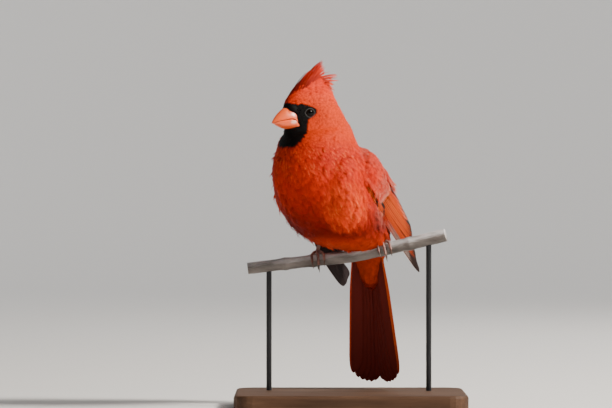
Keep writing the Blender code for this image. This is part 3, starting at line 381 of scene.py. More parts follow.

# Colours, and tones along a scale from 0 to 1
# Deeper red, partly the plumage's own and partly painted shade on the lower body and the crest's front.
DEEP_RED_AND_SHADE = (0.16, 0.002, 0.0003, 1)
SCARLET = (0.58, 0.010, 0.0004, 1)
ORANGE_RED = (0.95, 0.050, 0.001, 1)
# Painted light: the lit orange of cheek, nape, flank and the crest's back rows.
LIT_ORANGE = (1.0, 0.085, 0.002, 1)
FRINGE = (0.47, 0.25, 0.185, 1)
# Painted sheen: the pale pink glint on some breast and flank feather tips.
SHEEN_TIP_COLOUR = (1.0, 0.22, 0.060, 1)
UNDERTAIL = (0.62, 0.048, 0.0015, 1)
WING_RED = (0.46, 0.026, 0.003, 1)
WING_ORANGE = (0.74, 0.110, 0.012, 1)
FACE_BLACK = (0.0045, 0.004, 0.004, 1)
DUSKY = (0.013, 0.006, 0.005, 1)
SHAFT = (0.008, 0.003, 0.003, 1)
PALE_EDGE = (0.66, 0.46, 0.40, 1)
DULL_EDGE = (0.075, 0.045, 0.038, 1)
WHITE = (1, 1, 1, 1)
BLACK = (0, 0, 0, 1)
PUPIL = (0.001, 0.001, 0.001, 1)
BARK_TONES = [(0.3, (0.18, 0.17, 0.165, 1)), (0.5, (0.58, 0.58, 0.59, 1)), (0.72, (0.92, 0.92, 0.94, 1))]
WOOD_TONES = [(0.32, (0.05, 0.024, 0.013, 1)), (0.5, (0.105, 0.052, 0.028, 1)), (0.68, (0.17, 0.09, 0.05, 1))]
COAT_DEPTHS = [(0.0, (0.20, 0.13, 0.13, 1)), (0.45, (0.55, 0.45, 0.45, 1)), (0.85, WHITE)]
SKIN_TONES = [(0.3, (0.25, 0.18, 0.18, 1)), (0.7, (0.52, 0.42, 0.42, 1))]
EDGE_TONES = [(0.30, ORANGE_RED), (0.60, PALE_EDGE), (0.80, PALE_EDGE), (0.90, DULL_EDGE)]
IRIS_TILT = 60.0
IRIS_TONES = [
    (0.0, PUPIL), (0.42, PUPIL), (0.5, (0.009, 0.004, 0.002, 1)),
    (0.8, (0.005, 0.003, 0.002, 1)), (1.0, (0.002, 0.002, 0.002, 1)),
]
CORAL, PALE_CORAL = (0.85, 0.095, 0.014, 1), (0.96, 0.155, 0.034, 1)
# The second colour is the painted highlight at the gape.
HORN_STREAK, GAPE_HIGHLIGHT = (0.70, 0.055, 0.006, 1), (0.90, 0.62, 0.52, 1)
# The last tone here darkens the branch's sides and underside as painted shade.
BARK_FLECK, LENTICEL, BARK_SHADE_BELOW = (0.09, 0.075, 0.065, 1), (0.5, 0.46, 0.42, 1), (0.34, 0.30, 0.27, 1)
WOOD_PORE = (0.03, 0.014, 0.008, 1)
STEEL_DARK, STEEL_LIGHT = (0.018, 0.018, 0.02, 1), (0.05, 0.05, 0.055, 1)
LID_DARK, LID_LIGHT = (0.007, 0.006, 0.006, 1), (0.030, 0.027, 0.025, 1)
LEG_DARK, LEG_LIGHT = (0.085, 0.030, 0.024, 1), (0.40, 0.20, 0.16, 1)
CLAW_DARK, CLAW_LIGHT = (0.035, 0.018, 0.014, 1), (0.16, 0.09, 0.07, 1)
# The wings' underside: dusky, and darker still as painted shade.
WING_UNDER_SHADED = (0.024, 0.016, 0.017, 1)
TAIL_INNER, TAIL_UNDER = (0.13, 0.009, 0.004, 1), (0.12, 0.009, 0.005, 1)


def array(*values):
    return np.array(values, float)


def unit(v):
    return v / np.maximum(np.linalg.norm(v, axis=-1, keepdims=True), 1e-9)


def circle(sides):
    return np.linspace(0, 2 * np.pi, sides, endpoint=False)


def smooth(low, high, x):
    """0 below low, 1 above high, and a smooth step between."""
    t = np.clip((np.asarray(x, float) - low) / (high - low), 0, 1)
    return t * t * (3 - 2 * t)


class Heading:
    """A frame of (forward, left, up) turned about the vertical."""

    def __init__(self, origin, yaw):
        self.origin = np.array(origin, float)
        forward = (-math.sin(yaw), -math.cos(yaw), 0)
        left = (math.cos(yaw), -math.sin(yaw), 0)
        self.axes = np.array([forward, left, (0, 0, 1)])

    def place(self, local):
        return self.origin + np.asarray(local, float) @ self.axes

    def turn(self, local):
        return np.asarray(local, float) @ self.axes

    def local(self, place):
        return (np.asarray(place, float) - self.origin) @ self.axes.T


BODY = Heading(BODY_ORIGIN, BODY_YAW)
HEAD = Heading(HEAD_ORIGIN, HEAD_YAW)


def table(rows, x):
    """Reads a table of (x, value) pairs, straight between them."""
    return np.interp(x, [row[0] for row in rows], [row[1] for row in rows])


def catmull(p0, p1, p2, p3, t):
    squared = 2 * p0 - 5 * p1 + 4 * p2 - p3
    cubed = 3 * p1 - p0 - 3 * p2 + p3
    return 0.5 * (2 * p1 + (p2 - p0) * t + squared * t * t + cubed * t**3)


def curve_through(points, steps):
    """Catmull-Rom through rows of numbers, with steps spans between each pair."""
    points = np.asarray(points, float)
    padded = np.vstack([points[:1], points, points[-1:]])
    out = []
    for i in range(len(points) - 1):
        out += [catmull(*padded[i:i + 4], k / steps) for k in range(steps)]
    return np.array([*out, points[-1]])


def body_sections():
    rows = []
    for heading, sections in ((BODY, TORSO_SECTIONS), (HEAD, HEAD_SECTIONS)):
        left = heading.turn((0, 1, 0))
        for (f0, z0), (f1, z1), half_width, fullness in sections:
            front, back = heading.place((f0, 0, z0)), heading.place((f1, 0, z1))
            rows.append([*front, *back, *left, half_width, fullness])
    return rows


def body_ring(row, sides, inflate):
    """A closed outline of the body from one row of numbers."""
    front, back, left, half_width, fullness = row[:3], row[3:6], row[6:9], row[9], row[10]
    centre = (front + back) / 2
    depth = np.linalg.norm(front - back) / 2
    across = unit(front - back)
    left = unit(left - across * (left @ across))
    angle = circle(sides)
    wide = (half_width + inflate) * np.sin(angle) * (1 + fullness * np.cos(angle))
    return centre + np.outer(np.cos(angle) * (depth + inflate), across) + np.outer(wide, left)


def grid_faces(rows, columns, caps=True):
    """Quads over rows of columns points, closed round each row, with a face over each end."""
    faces = []
    for i in range(rows - 1):
        for j in range(columns):
            a, b = i * columns + j, i * columns + (j + 1) % columns
            faces.append((a, b, b + columns, a + columns))
    if caps:
        faces.append(tuple(reversed(range(columns))))
        faces.append(tuple(range((rows - 1) * columns, rows * columns)))
    return faces


def build_mesh(name, points, faces):
    """A smooth mesh object from points in millimetres."""
    mesh = bpy.data.meshes.new(name)
    mesh.from_pydata((np.asarray(points) * MM).tolist(), [], faces)
    mesh.update()
    mesh.shade_smooth()
    obj = bpy.data.objects.new(name, mesh)
    bpy.context.scene.collection.objects.link(obj)
    return obj


def face_outward(obj):
    """Turns every face of a closed mesh outward."""
    edit = bmesh.new()
    edit.from_mesh(obj.data)
    bmesh.ops.recalc_face_normals(edit, faces=edit.faces)
    if edit.calc_volume(signed=True) < 0:
        bmesh.ops.reverse_faces(edit, faces=edit.faces)
    edit.to_mesh(obj.data)
    edit.free()


def marked_mesh(name, pieces):
    """One object from pieces, each (points in millimetres, triangles, UV per point, numbers per point)."""
    points, faces, uvs, keys, start = [], [], [], {}, 0
    for part_points, part_faces, part_uv, values in pieces:
        points.append(part_points)
        faces.append(part_faces + start)
        uvs.append(part_uv)
        for key, value in values.items():
            keys.setdefault(key, []).append(np.broadcast_to(value, len(part_points)))
        start += len(part_points)
    points, faces, uvs = np.concatenate(points), np.concatenate(faces), np.concatenate(uvs)
    mesh = bpy.data.meshes.new(name)
    mesh.vertices.add(len(points))
    mesh.vertices.foreach_set("co", (points * MM).astype(np.float32).ravel())
    mesh.loops.add(faces.size)
    mesh.loops.foreach_set("vertex_index", faces.ravel().astype(np.int32))
    mesh.polygons.add(len(faces))
    mesh.polygons.foreach_set("loop_start", np.arange(0, faces.size, faces.shape[1], dtype=np.int32))
    mesh.update(calc_edges=True)
    layer = mesh.uv_layers.new(name="OFBake")
    layer.data.foreach_set("uv", uvs[faces.ravel()].astype(np.float32).ravel())
    mesh.shade_smooth()
    obj = bpy.data.objects.new(name, mesh)
    bpy.context.scene.collection.objects.link(obj)
    for key, values in keys.items():
        set_attribute(obj, key, np.concatenate(values))
    return obj


def join_lofts(name, lofts):
    """One closed object from several lofts of rings."""
    points, faces, start = [], [], 0
    for rings in lofts:
        points += [*rings]
        faces += [tuple(i + start for i in face) for face in grid_faces(len(rings), len(rings[0]))]
        start += len(rings) * len(rings[0])
    obj = build_mesh(name, np.concatenate(points), faces)
    face_outward(obj)
    return obj


def mesh_points(obj):
    co = np.empty(len(obj.data.vertices) * 3)
    obj.data.vertices.foreach_get("co", co)
    return co.reshape(-1, 3) / MM


def set_attribute(obj, key, values):
    made = obj.data.attributes.new(key, "FLOAT", "POINT")
    made.data.foreach_set("value", np.asarray(values, np.float32))


def apply_modifiers(obj):
    graph = bpy.context.evaluated_depsgraph_get()
    mesh = bpy.data.meshes.new_from_object(obj.evaluated_get(graph))
    obj.modifiers.clear()
    obj.data = mesh


def with_axis(*values):
    """Numbers or arrays in one common shape, each with a last axis for a direction's three parts."""
    return [each[..., None] for each in np.broadcast_arrays(*(np.asarray(value, float) for value in values))]


class Wing:
    """A folded wing's surface: u runs from the wrist to the tip, v up from the leading edge, n outwards."""

    def __init__(self, side):
        sizes = WINGS[side]
        self.sign = 1 if side == "left" else -1
        self.wrist = np.array(sizes["wrist"], float)
        along = np.array(sizes["tip"], float) - self.wrist
        self.scale = np.linalg.norm(along) / WING_LENGTH
        self.along = unit(along)
        self.up = unit(np.cross(self.along, (0, self.sign, 0)))
        if self.up[2] < 0:
            self.up = -self.up
        self.outward = unit(np.cross(self.along, self.up))
        if self.outward[1] * self.sign < 0:
            self.outward = -self.outward
        self.bow, self.hug = sizes["bow"], sizes["hug"]

    def bend(self, u):
        return np.sin(np.pi * np.clip(u / WING_LENGTH, 0, 1))

    def point(self, u, v, n):
        u, v, n = with_axis(u, v, n)
        swing = self.bend(u)
        wrap = self.hug * swing + WING_WRAP * np.maximum(v - WING_WRAP_START, 0) ** 2
        local = self.wrist + u * self.scale * self.along + (v + self.bow * swing) * self.up
        return BODY.place(local + (n - wrap) * self.outward)

    def coordinates(self, place):
        """(u, v, n) of points in the part's axes."""
        away = BODY.local(place) - self.wrist
        u = away @ self.along / self.scale
        v = away @ self.up - self.bow * self.bend(u)
        n = away @ self.outward + self.hug * self.bend(u)
        return u, v, n + WING_WRAP * np.maximum(v - WING_WRAP_START, 0) ** 2

    def normal(self, u, v):
        along = self.point(u + 1, v, 0) - self.point(u - 1, v, 0)
        across = self.point(u, v + 1, 0) - self.point(u, v - 1, 0)
        out = unit(np.cross(along, across))
        return out * np.sign(out @ BODY.turn(self.outward))[..., None]


class Tail:
    """The tail's plane: distance down from the root, to the bird's left, and height on its upper side."""

    def __init__(self):
        turned = Heading((0, 0, 0), TAIL_YAW)
        self.root = BODY.place(TAIL_ROOT)
        self.down = turned.turn((-math.cos(TAIL_PITCH), 0, -math.sin(TAIL_PITCH)))
        self.left = turned.turn((0, 1, 0))
        self.upper = turned.turn((-math.sin(TAIL_PITCH), 0, math.cos(TAIL_PITCH)))

    def point(self, along, left, height):
        along, left, height = with_axis(along, left, height)
        across = left + TAIL_LEAN * along
        rise = height - TAIL_ARCH * left * left
        return self.root + along * self.down + across * self.left + rise * self.upper

    def coordinates(self, place):
        away = np.asarray(place, float) - self.root
        along = away @ self.down
        return along, away @ self.left - TAIL_LEAN * along, away @ self.upper


WING = {side: Wing(side) for side in WINGS}
TAIL = Tail()


def body_loft():
    rows = curve_through(body_sections(), SKIN_STEPS_PER_SECTION)
    return [body_ring(row, SKIN_SIDES, -float(table(SKIN_DEPTHS, i / SKIN_STEPS_PER_SECTION)))
            for i, row in enumerate(rows)]


def wing_loft(wing):
    """The fleshy part of a wing, a little inside the solids' one."""
    rings = []
    angle = circle(CORE_SIDES)
    for t in np.linspace(0, 1, WING_CORE_RINGS):
        u = WING_CORE_START + (WING_CORE_END - WING_CORE_START) * t
        reach = math.sin(math.pi * min(1, WING_CORE_SWELL[0] + WING_CORE_SWELL[1] * t)) ** 0.5
        low, high = (start + swell * reach for start, swell in (WING_CORE_LOW, WING_CORE_HIGH))
        top, bottom = WING_CORE_TOP * (1 - t) ** WING_CORE_TAPER * reach, WING_CORE_BOTTOM
        v = (low + high) / 2 + (high - low) / 2 * np.cos(angle)
        n = (top + bottom) / 2 + (top - bottom) / 2 * np.sin(angle)
        rings.append(wing.point(u, v, n))
    return rings


def tail_loft():
    angle = circle(CORE_SIDES)
    return [TAIL.point(along, half_width * np.cos(angle), half_depth * np.sin(angle) - TAIL_CORE_SINK)
            for along, half_width, half_depth in TAIL_CORE]


def cushion_loft(heading, centre, axes, sign):
    """A closed ellipsoid on the bird's left, or mirrored to its right."""
    rings = []
    turn = circle(CUSHION_SIDES)
    axes = np.array(axes, float)
    for polar in np.linspace(CUSHION_POLE, np.pi - CUSHION_POLE, CUSHION_RINGS):
        around = np.outer(np.cos(turn), axes[1]) + np.outer(np.sin(turn), axes[2])
        local = array(*centre) + math.cos(polar) * axes[0] + math.sin(polar) * around
        rings.append(heading.place(local * array(1, sign, 1)))
    return rings


def make_skin():
    """One skin over head, neck, body, wing roots and tail root."""
    lofts = [body_loft(), *(wing_loft(wing) for wing in WING.values()), tail_loft()]
    headings = {"head": HEAD, "body": BODY}
    lofts += [cushion_loft(headings[kind], centre, axes, sign)
              for kind, centre, axes in CUSHIONS.values() for sign in (1, -1)]
    skin = join_lofts("skin", lofts)
    remesh = skin.modifiers.new("remesh", "REMESH")
    remesh.mode = "VOXEL"
    remesh.voxel_size = SKIN_VOXEL * MM
    even = skin.modifiers.new("even", "SMOOTH")
    even.iterations = SKIN_SMOOTHING
    apply_modifiers(skin)
    soften_shoulders(skin)
    skin.name = skin.data.name = "skin"
    skin.data.shade_smooth()
    return skin


def soften_shoulders(skin):
    """Blends the shoulders' rises into wings and back."""
    weights = blob(BODY.local(mesh_points(skin)), SHOULDER_CENTRE, SHOULDER_RADII)
    group = skin.vertex_groups.new(name="shoulder")
    for index in np.flatnonzero(weights > LEAST_WEIGHT).tolist():
        group.add([index], float(weights[index]), "REPLACE")
    soft = skin.modifiers.new("soft", "SMOOTH")
    soft.iterations = SHOULDER_SMOOTHING
    soft.vertex_group = group.name
    apply_modifiers(skin)
    skin.vertex_groups.clear()


class Surface:
    """The skin as arrays, for placing feathers on it."""

    def __init__(self, obj):
        mesh = obj.data
        mesh.calc_loop_triangles()
        self.points = mesh_points(obj)
        normals = np.empty(len(mesh.vertices) * 3)
        mesh.vertices.foreach_get("normal", normals)
        self.normals = normals.reshape(-1, 3)
        triangles = np.empty(len(mesh.loop_triangles) * 3, np.int32)
        mesh.loop_triangles.foreach_get("vertices", triangles)
        self.triangles = triangles.reshape(-1, 3)
        loops = np.empty(len(mesh.loop_triangles) * 3, np.int32)
        mesh.loop_triangles.foreach_get("loops", loops)
        uv = np.empty(len(mesh.loops) * 2)
        mesh.uv_layers["OFBake"].data.foreach_get("uv", uv)
        self.uv = uv.reshape(-1, 2)[loops.reshape(-1, 3)]
        self.tree = BVHTree.FromPolygons([Vector(p) for p in self.points.tolist()], self.triangles.tolist())

    def sample(self, count):
        """Random places spread evenly over the skin, with their UV."""
        corners = self.points[self.triangles]
        area = np.linalg.norm(np.cross(corners[:, 1] - corners[:, 0], corners[:, 2] - corners[:, 0]), axis=1)
        which = rng.choice(len(area), count, p=area / area.sum())
        a, b = rng.random((2, count))
        flip = a + b > 1
        a[flip], b[flip] = 1 - a[flip], 1 - b[flip]
        weights = np.stack([1 - a - b, a, b], 1)
        return (corners[which] * weights[..., None]).sum(1), (self.uv[which] * weights[..., None]).sum(1)

    def nearest(self, places):
        """Nearest point on the skin and its smooth normal, for each place."""
        found = np.empty_like(places)
        index = np.empty(len(places), int)
        for i, place in enumerate(places.tolist()):
            near, _, face, _ = self.tree.find_nearest(place)
            found[i] = near
            index[i] = face
        return found, unit(self.normals[self.triangles[index]].mean(1))


def unwrap(obj):
    """A smart unwrap of the skin's own shape, named OFBake."""
    obj.data.uv_layers.new(name="OFBake")
    bpy.context.view_layer.objects.active = obj
    obj.select_set(True)
    bpy.ops.object.mode_set(mode="EDIT")
    bpy.ops.mesh.select_all(action="SELECT")
    bpy.ops.uv.smart_project(angle_limit=UV_ANGLE, island_margin=UV_MARGIN)
    bpy.ops.object.mode_set(mode="OBJECT")
    obj.select_set(False)


def black_mask(place):
    """1 on the black face and bib, 0 elsewhere, with a feathery edge."""
    forward, _, up = HEAD.local(place).T
    inside = smooth(-MASK_BLUR, MASK_BLUR, forward - table(MASK_EDGE, up))
    return inside * smooth(*MASK_BOTTOM, up) * smooth(*MASK_TOP, up)


def wing_weight(place):
    """How much of each point's coat belongs to the left and right wing, and the direction it lies there."""
    total = np.zeros(len(place))
    flow = np.zeros_like(place)
    for wing in WING.values():
        at = dict(zip("uvn", wing.coordinates(place)))
        here = 1.0
        for axis, none, full in WING_COAT_STEPS:
            here = here * smooth(none, full, at[axis])
        total = np.maximum(total, here)
        flow += here[:, None] * BODY.turn(wing.along - WING_COAT_DROP * wing.up)
    return total, flow


def mirrored(local):
    """Places on the bird's right side folded over to its left."""
    return np.stack([local[:, 0], np.abs(local[:, 1]), local[:, 2]], 1)


def blob(local, centre, radii):
    """1 in the middle of an ellipsoid on either side of the bird, 0 outside."""
    return smooth(*BLOB_EDGE, np.linalg.norm((mirrored(local) - centre) / np.array(radii), axis=1))


def head_and_body_flow(place, on_head):
    """How the coat of head and body lies, before wings, tail and eyes turn it."""
    forward, _, up = HEAD.local(place).T
    away = unit(place - HEAD.place(FLOW_START))
    sink = smooth(*NAPE_STEP, forward)[:, None]
    head_flow = away + HEAD.turn(NAPE_SINK) * sink * NAPE_SINK_SHARE
    crown = (smooth(*CROWN_UP, up) * smooth(*CROWN_FORWARD, forward))[:, None]
    head_flow = head_flow * (1 - crown) + HEAD.turn(CROWN_FLOW) * crown
    body_flow = np.tile(BODY.turn(BODY_FLOW), (len(place), 1))
    return head_flow * on_head[:, None] + body_flow * (1 - on_head[:, None])


def round_eyes(place, flow, near_eye):
    """Turns the flow so that it doesn't run into the nearer eye."""
    rim = eye_rim_centre()
    on_left = HEAD.local(place)[:, 1:2] > 0
    middle = np.where(on_left, HEAD.place(rim), HEAD.place(rim * array(1, -1, 1)))
    outward = unit(place - middle)
    heading_in = np.minimum((flow * outward).sum(1), 0)[:, None]
    return unit(flow - outward * heading_in * EYE_FLOW_SHARE * near_eye[:, None])


def coat_zones(place):
    """Length, width, lift and spacing of the body feathers at each place, and the way they lie."""
    head, body = HEAD.local(place), BODY.local(place)
    up = head[:, 2]
    on_head = smooth(*ZONE_STEPS["head"], up)
    shoulder = blob(body, SHOULDER_CENTRE, SHOULDER_RADII)
    wing, wing_flow = wing_weight(place)
    tail = smooth(*ZONE_STEPS["tail"], TAIL.coordinates(place)[0])
    near_eye = smooth(*ZONE_STEPS["eye"], eye_distance(place))
    weights = {
        "neck": smooth(*ZONE_STEPS["neck"], up),
        "head": on_head,
        "crown": smooth(*ZONE_STEPS["crown"], up),
        "face": smooth(*ZONE_STEPS["face"], np.linalg.norm(head - FACE_CENTRE, axis=1)),
        "flank": blob(body, FLANK_CENTRE, FLANK_RADII),
        "shoulder": shoulder,
        "wing": wing,
        "tail": tail,
        "eye": near_eye,
    }
    sizes = [np.full(len(place), value) for value in ZONES["body"]]
    for zone, weight in weights.items():
        for values, target in zip(sizes, ZONES[zone]):
            values += (target - values) * weight

    flow = head_and_body_flow(place, on_head)
    wing_way = np.where(body[:, 1:2] > 0, *(BODY.turn(WING[side].along) for side in ("left", "right")))
    turned = shoulder[:, None]
    flow = unit(flow) * (1 - SHOULDER_FLOW_SHARE * turned) + wing_way * SHOULDER_FLOW_SHARE * turned
    flow = unit(flow) * (1 - wing[:, None]) + wing_flow
    flow = unit(flow) * (1 - tail[:, None]) + TAIL.down * tail[:, None]
    return *sizes, round_eyes(place, unit(flow), near_eye)


def spread(places, spacing):
    """Keeps at most one of the places in each cell of a grid about as wide as the spacing there."""
    level = np.round(np.log(spacing) / np.log(CELL_RATIO))
    cell = CELL_RATIO ** level
    key = np.concatenate([level[:, None], np.floor(places / cell[:, None])], 1)
    _, first = np.unique(key, axis=0, return_index=True)
    return np.sort(first)


def vane(stations, droop):
    """A vane's points and triangles, from rows of (along, half width, shaft height)."""
    points, faces = [], []
    for along, half_width, shaft in stations:
        edge = droop * half_width
        points += [(along, -half_width, edge), (along, 0, shaft), (along, half_width, edge)]
    for a in range(0, 3 * len(stations) - 3, 3):
        faces += [(a, a + 1, a + 4), (a, a + 4, a + 3), (a + 1, a + 2, a + 5), (a + 1, a + 5, a + 4)]
    return points, faces


def feather_shape(seed):
    """One body feather along x from 0 to 1: a vane that ends in a fan of fine barbs."""
    draw = np.random.default_rng(seed)
    points, faces = vane(COAT_VANE, COAT_VANE_DROOP)
    for k in range(BARBS):
        a = 2 * k / (BARBS - 1) - 1 + draw.uniform(-0.07, 0.07)
        fan = a * BARB_FAN
        x0, y0 = 0.30 + 0.24 * (1 - abs(a)), 0.30 * a
        x2 = 0.60 + 0.40 * math.cos(fan) + draw.uniform(-0.07, 0.04)
        y2 = 0.52 * math.sin(fan) + draw.uniform(-0.05, 0.05)
        x1, y1 = 0.5 * (x0 + x2), 0.42 * y0 + 0.58 * y2
        rise = draw.uniform(-0.03, 0.03)
        start = len(points)
        for x, y, half, z in ((x0, y0, BARB_HALF_WIDTH, 0.02),
                              (x1, y1, BARB_HALF_WIDTH * BARB_NARROWING, 0.05 + rise)):
            points += [(x, y - half, z), (x, y + half, z)]
        points.append((x2, y2, rise))
        faces += [(start, start + 1, start + 3), (start, start + 3, start + 2)]
        faces.append((start + 2, start + 3, start + 4))
    return np.array(points), np.array(faces)


def lock_shape(seed):
    """A long narrow crest feather: a vane with a raised shaft and fine barbs all along its sides."""
    draw = np.random.default_rng(seed)
    points, faces = vane(CREST_VANE, CREST_VANE_DROOP)
    last, tip = len(points) - 3, len(points)
    points.append((1.0, 0, 0))
    faces += [(last, last + 1, tip), (last + 1, last + 2, tip)]
    for k in range(CREST_BARBS):
        side = 1 if k % 2 else -1
        x0 = 0.10 + 0.84 * (k + draw.random()) / CREST_BARBS
        y0 = side * table(CREST_VANE, x0)
        x2 = min(x0 + 0.15 + 0.09 * draw.random(), 1.03)
        y2 = y0 * 1.05 + side * draw.uniform(0.02, 0.16)
        rise = draw.uniform(-0.10, 0.14)
        start = len(points)
        points += [(x0, y0 * 0.5, 0.05), (x0 + 0.045, y0 * 0.95, 0.02), (x2, y2, rise)]
        faces.append((start, start + 1, start + 2))
    return np.array(points), np.array(faces)


def ruffled(lift, ruffle):
    """The height of each feather's line over its base at every step, with uneven tips and a few strays."""
    count = len(lift)
    uneven = 1 + ruffle * rng.normal(0, 1, count) + STRAY_LIFT * (rng.random(count) < STRAY_SHARE)
    at_tip = (np.arange(FEATHER_STEPS + 1) >= FEATHER_TIP_STEP)[:, None]
    return lift * FEATHER_RISE * np.where(at_tip, uneven, 1)


def trace_skin(surface, roots, flow, length, lift, ruffle):
    """Each feather's line from its root along the flow, close over the skin, with normals and sides."""
    line = np.empty((FEATHER_STEPS + 1, len(roots), 3))
    normals = np.empty_like(line)
    sides = np.empty_like(line)
    heights = ruffled(lift, ruffle)
    spot, normal = surface.nearest(roots)
    direction = unit(flow - normal * (flow * normal).sum(1, keepdims=True))
    direction = unit(direction + np.cross(normal, direction) * rng.normal(0, 0.10, (len(roots), 1)))
    for k in range(FEATHER_STEPS + 1):
        if k:
            spot, normal = surface.nearest(spot + direction * (length / FEATHER_STEPS)[:, None])
            direction = unit(direction - normal * (direction * normal).sum(1, keepdims=True))
        line[k] = spot + normal * heights[k][:, None]
        normals[k] = normal
        sides[k] = np.cross(normal, direction)
    return line, normals, sides


def trace_wing(wing, surface, u, v, length, lift, drift, ruffle):
    """The same for soft feathers from the skin at the shoulder to the top of a wing's large coverts."""
    s = np.linspace(0, 1, FEATHER_STEPS + 1)[:, None]
    along = u + s * length
    across = v + s * length * (drift + rng.normal(0, 0.08, len(u)))
    slope = np.clip((across - 6) / 15, 0, 1)
    top = COVERT_BASE + (COVERT_RISE + COVERT_RISE * slope) * smooth(0, 14, along)
    heights = ruffled(lift, ruffle)
    line = wing.point(along, across, top + heights)
    normals = wing.normal(along, across)
    spot, out = surface.nearest(line.reshape(-1, 3))
    spot, out = spot.reshape(line.shape), out.reshape(line.shape)
    free = smooth(-9, 1, along)[..., None]
    line = line * free + (spot + out * heights[..., None]) * (1 - free)
    normals = unit(normals * free + out * (1 - free))
    ahead = unit(np.gradient(line, axis=0))
    return line, normals, np.cross(normals, ahead)


def values_along(values, places, steps):
    """Reads rows of values, one for each step of a line, at places from 0 to 1 along it."""
    at = places * steps
    low = np.minimum(at.astype(int), steps - 1)
    part = (at - low).reshape(-1, *[1] * (values.ndim - 1))
    return values[low] * (1 - part) + values[low + 1] * part


def uv_patch(along, across):
    """A feather's own small patch on the unwrap, round its root."""
    return np.stack([across * UV_PATCH, (along - 0.5) * UV_PATCH], 1)


def feather_mesh(name, lines, width, root_uv, marks, shapes):
    """Feathers bent along their lines and joined in one mesh."""
    count = lines[0].shape[1]
    shade = rng.random(count)
    variant = rng.integers(0, len(shapes), count)
    pieces = []
    for index, (shape, faces) in enumerate(shapes):
        chosen = np.flatnonzero(variant == index)
        line, normals, sides = (values_along(values[:, chosen], shape[:, 0], FEATHER_STEPS)
                                for values in lines)
        wide = width[chosen][None, :, None]
        points = line + sides * shape[:, 1][:, None, None] * wide
        points = points + normals * shape[:, 2][:, None, None] * wide
        offsets = np.arange(len(chosen))[:, None, None] * len(shape)
        uv = root_uv[chosen][:, None] + uv_patch(shape[:, 0], shape[:, 1])
        values = {key: np.repeat(mark[chosen], len(shape)) for key, mark in marks.items()}
        values["along"] = np.tile(shape[:, 0], len(chosen))
        values["across"] = np.tile(shape[:, 1] * 2, len(chosen))
        values["shade"] = np.repeat(shade[chosen], len(shape))
        pieces.append((points.transpose(1, 0, 2).reshape(-1, 3), (faces + offsets).reshape(-1, 3),
                       uv.reshape(-1, 2), values))
    return marked_mesh(name, pieces)


def coat_marks(place):
    """The coat's markings and painted light: black mask, grey-brown fringe, orange undertail, painted sheen
    on some breast and flank tips, painted light on cheek, nape and flank, and deeper red low down that is
    partly painted shade.
    """
    body, head = BODY.local(place), HEAD.local(place)
    forward, height, up = body[:, 0], body[:, 2], head[:, 2]
    mantle = smooth(*MANTLE_FORWARD, forward) * smooth(*MANTLE_UP, up) * smooth(*MANTLE_HEIGHT, height)
    shoulder = blob(body, SHOULDER_CENTRE, SHOULDER_RADII)
    down_tail, _, over_tail = TAIL.coordinates(place)
    under = smooth(*UNDERTAIL_ALONG, down_tail) * smooth(*UNDERTAIL_HEIGHT, over_tail)
    wing, _ = wing_weight(place)
    breast_band = smooth(*BREAST_BOTTOM, up) * smooth(*BREAST_TOP, up) * smooth(*BREAST_FORWARD, forward)
    flank = blob(body, FLANK_CENTRE, FLANK_RADII)
    # Painted sheen on random feather tips over the upper breast and the flank.
    sheen_tips = rng.random(len(place)) ** 2 * np.maximum(breast_band, flank)
    # Painted light on cheek, nape and flank.
    cheek = smooth(*CHEEK_BOTTOM, up) * smooth(*CHEEK_FORWARD, head[:, 0]) * smooth(*CHEEK_TOP, up)
    fringe = MANTLE_SHARE * mantle + SHOULDER_SHARE * shoulder + WING_SHARE * wing
    return {
        "black": black_mask(place),
        "fringe": np.clip(fringe, 0, MOST_FRINGE),
        "orange": under,
        "pale": sheen_tips,
        "painted_light": np.maximum(cheek, FLANK_LIGHT * flank),
        # Deeper red low on the body: partly its own tone, partly painted shade.
        "deep": DEEP_AND_SHADE_SHARE * smooth(*DEEP_AND_SHADE_HEIGHT, height) * (1 - under) * (1 - FLANK_CLEARING * flank),
    }


def clear_of_features(place):
    """True where a body feather may root: off the bill and the eyes, and not under the flight feathers."""
    f, side, z = HEAD.local(place).T
    mouth, culmen, keel = table(BILL_MOUTH, f), table(BILL_CULMEN, f), table(BILL_KEEL, f)
    up = np.clip((z - mouth) / (culmen - mouth), 0, 1) ** (1 / BILL_ARCH[True])
    down = np.clip((mouth - z) / (mouth - keel), 0, 1) ** (1 / BILL_ARCH[False])
    half = table(BILL_HALF_WIDTH, f)
    wide = np.where(z > mouth, half, half * table(LOWER_WIDTH, f))
    wide = wide * np.sqrt(1 - np.maximum(up, down) ** 2)
    under_quills = np.zeros(len(place), bool)
    for wing in WING.values():
        u, v, n = wing.coordinates(place)
        under_quills |= (u > QUILL_COVER_START) & (n > -QUILL_COVER_DEPTH) & (v > 0) & (v < QUILL_COVER_WIDTH)
    in_bill = (f > BILL_FACE) & (np.abs(side) < wide - 0.05) & (z < culmen) & (z > keel)
    return ~in_bill & ~under_quills & (eye_distance(place) > EYE_OPENING)


def eye_distance(place):
    """Distance from the middle of the nearer eye's opening."""
    return np.linalg.norm(mirrored(HEAD.local(place)) - eye_rim_centre(), axis=1)


def eye_look(sign=1):
    return array(math.sin(EYE_FORWARD_TURN), sign * math.cos(EYE_FORWARD_TURN), 0)


def eye_rim_centre():
    """Middle of the left eye's opening, in the head's frame."""
    return array(*EYE_CENTRE) + eye_look() * EYE_OPENING_DEPTH


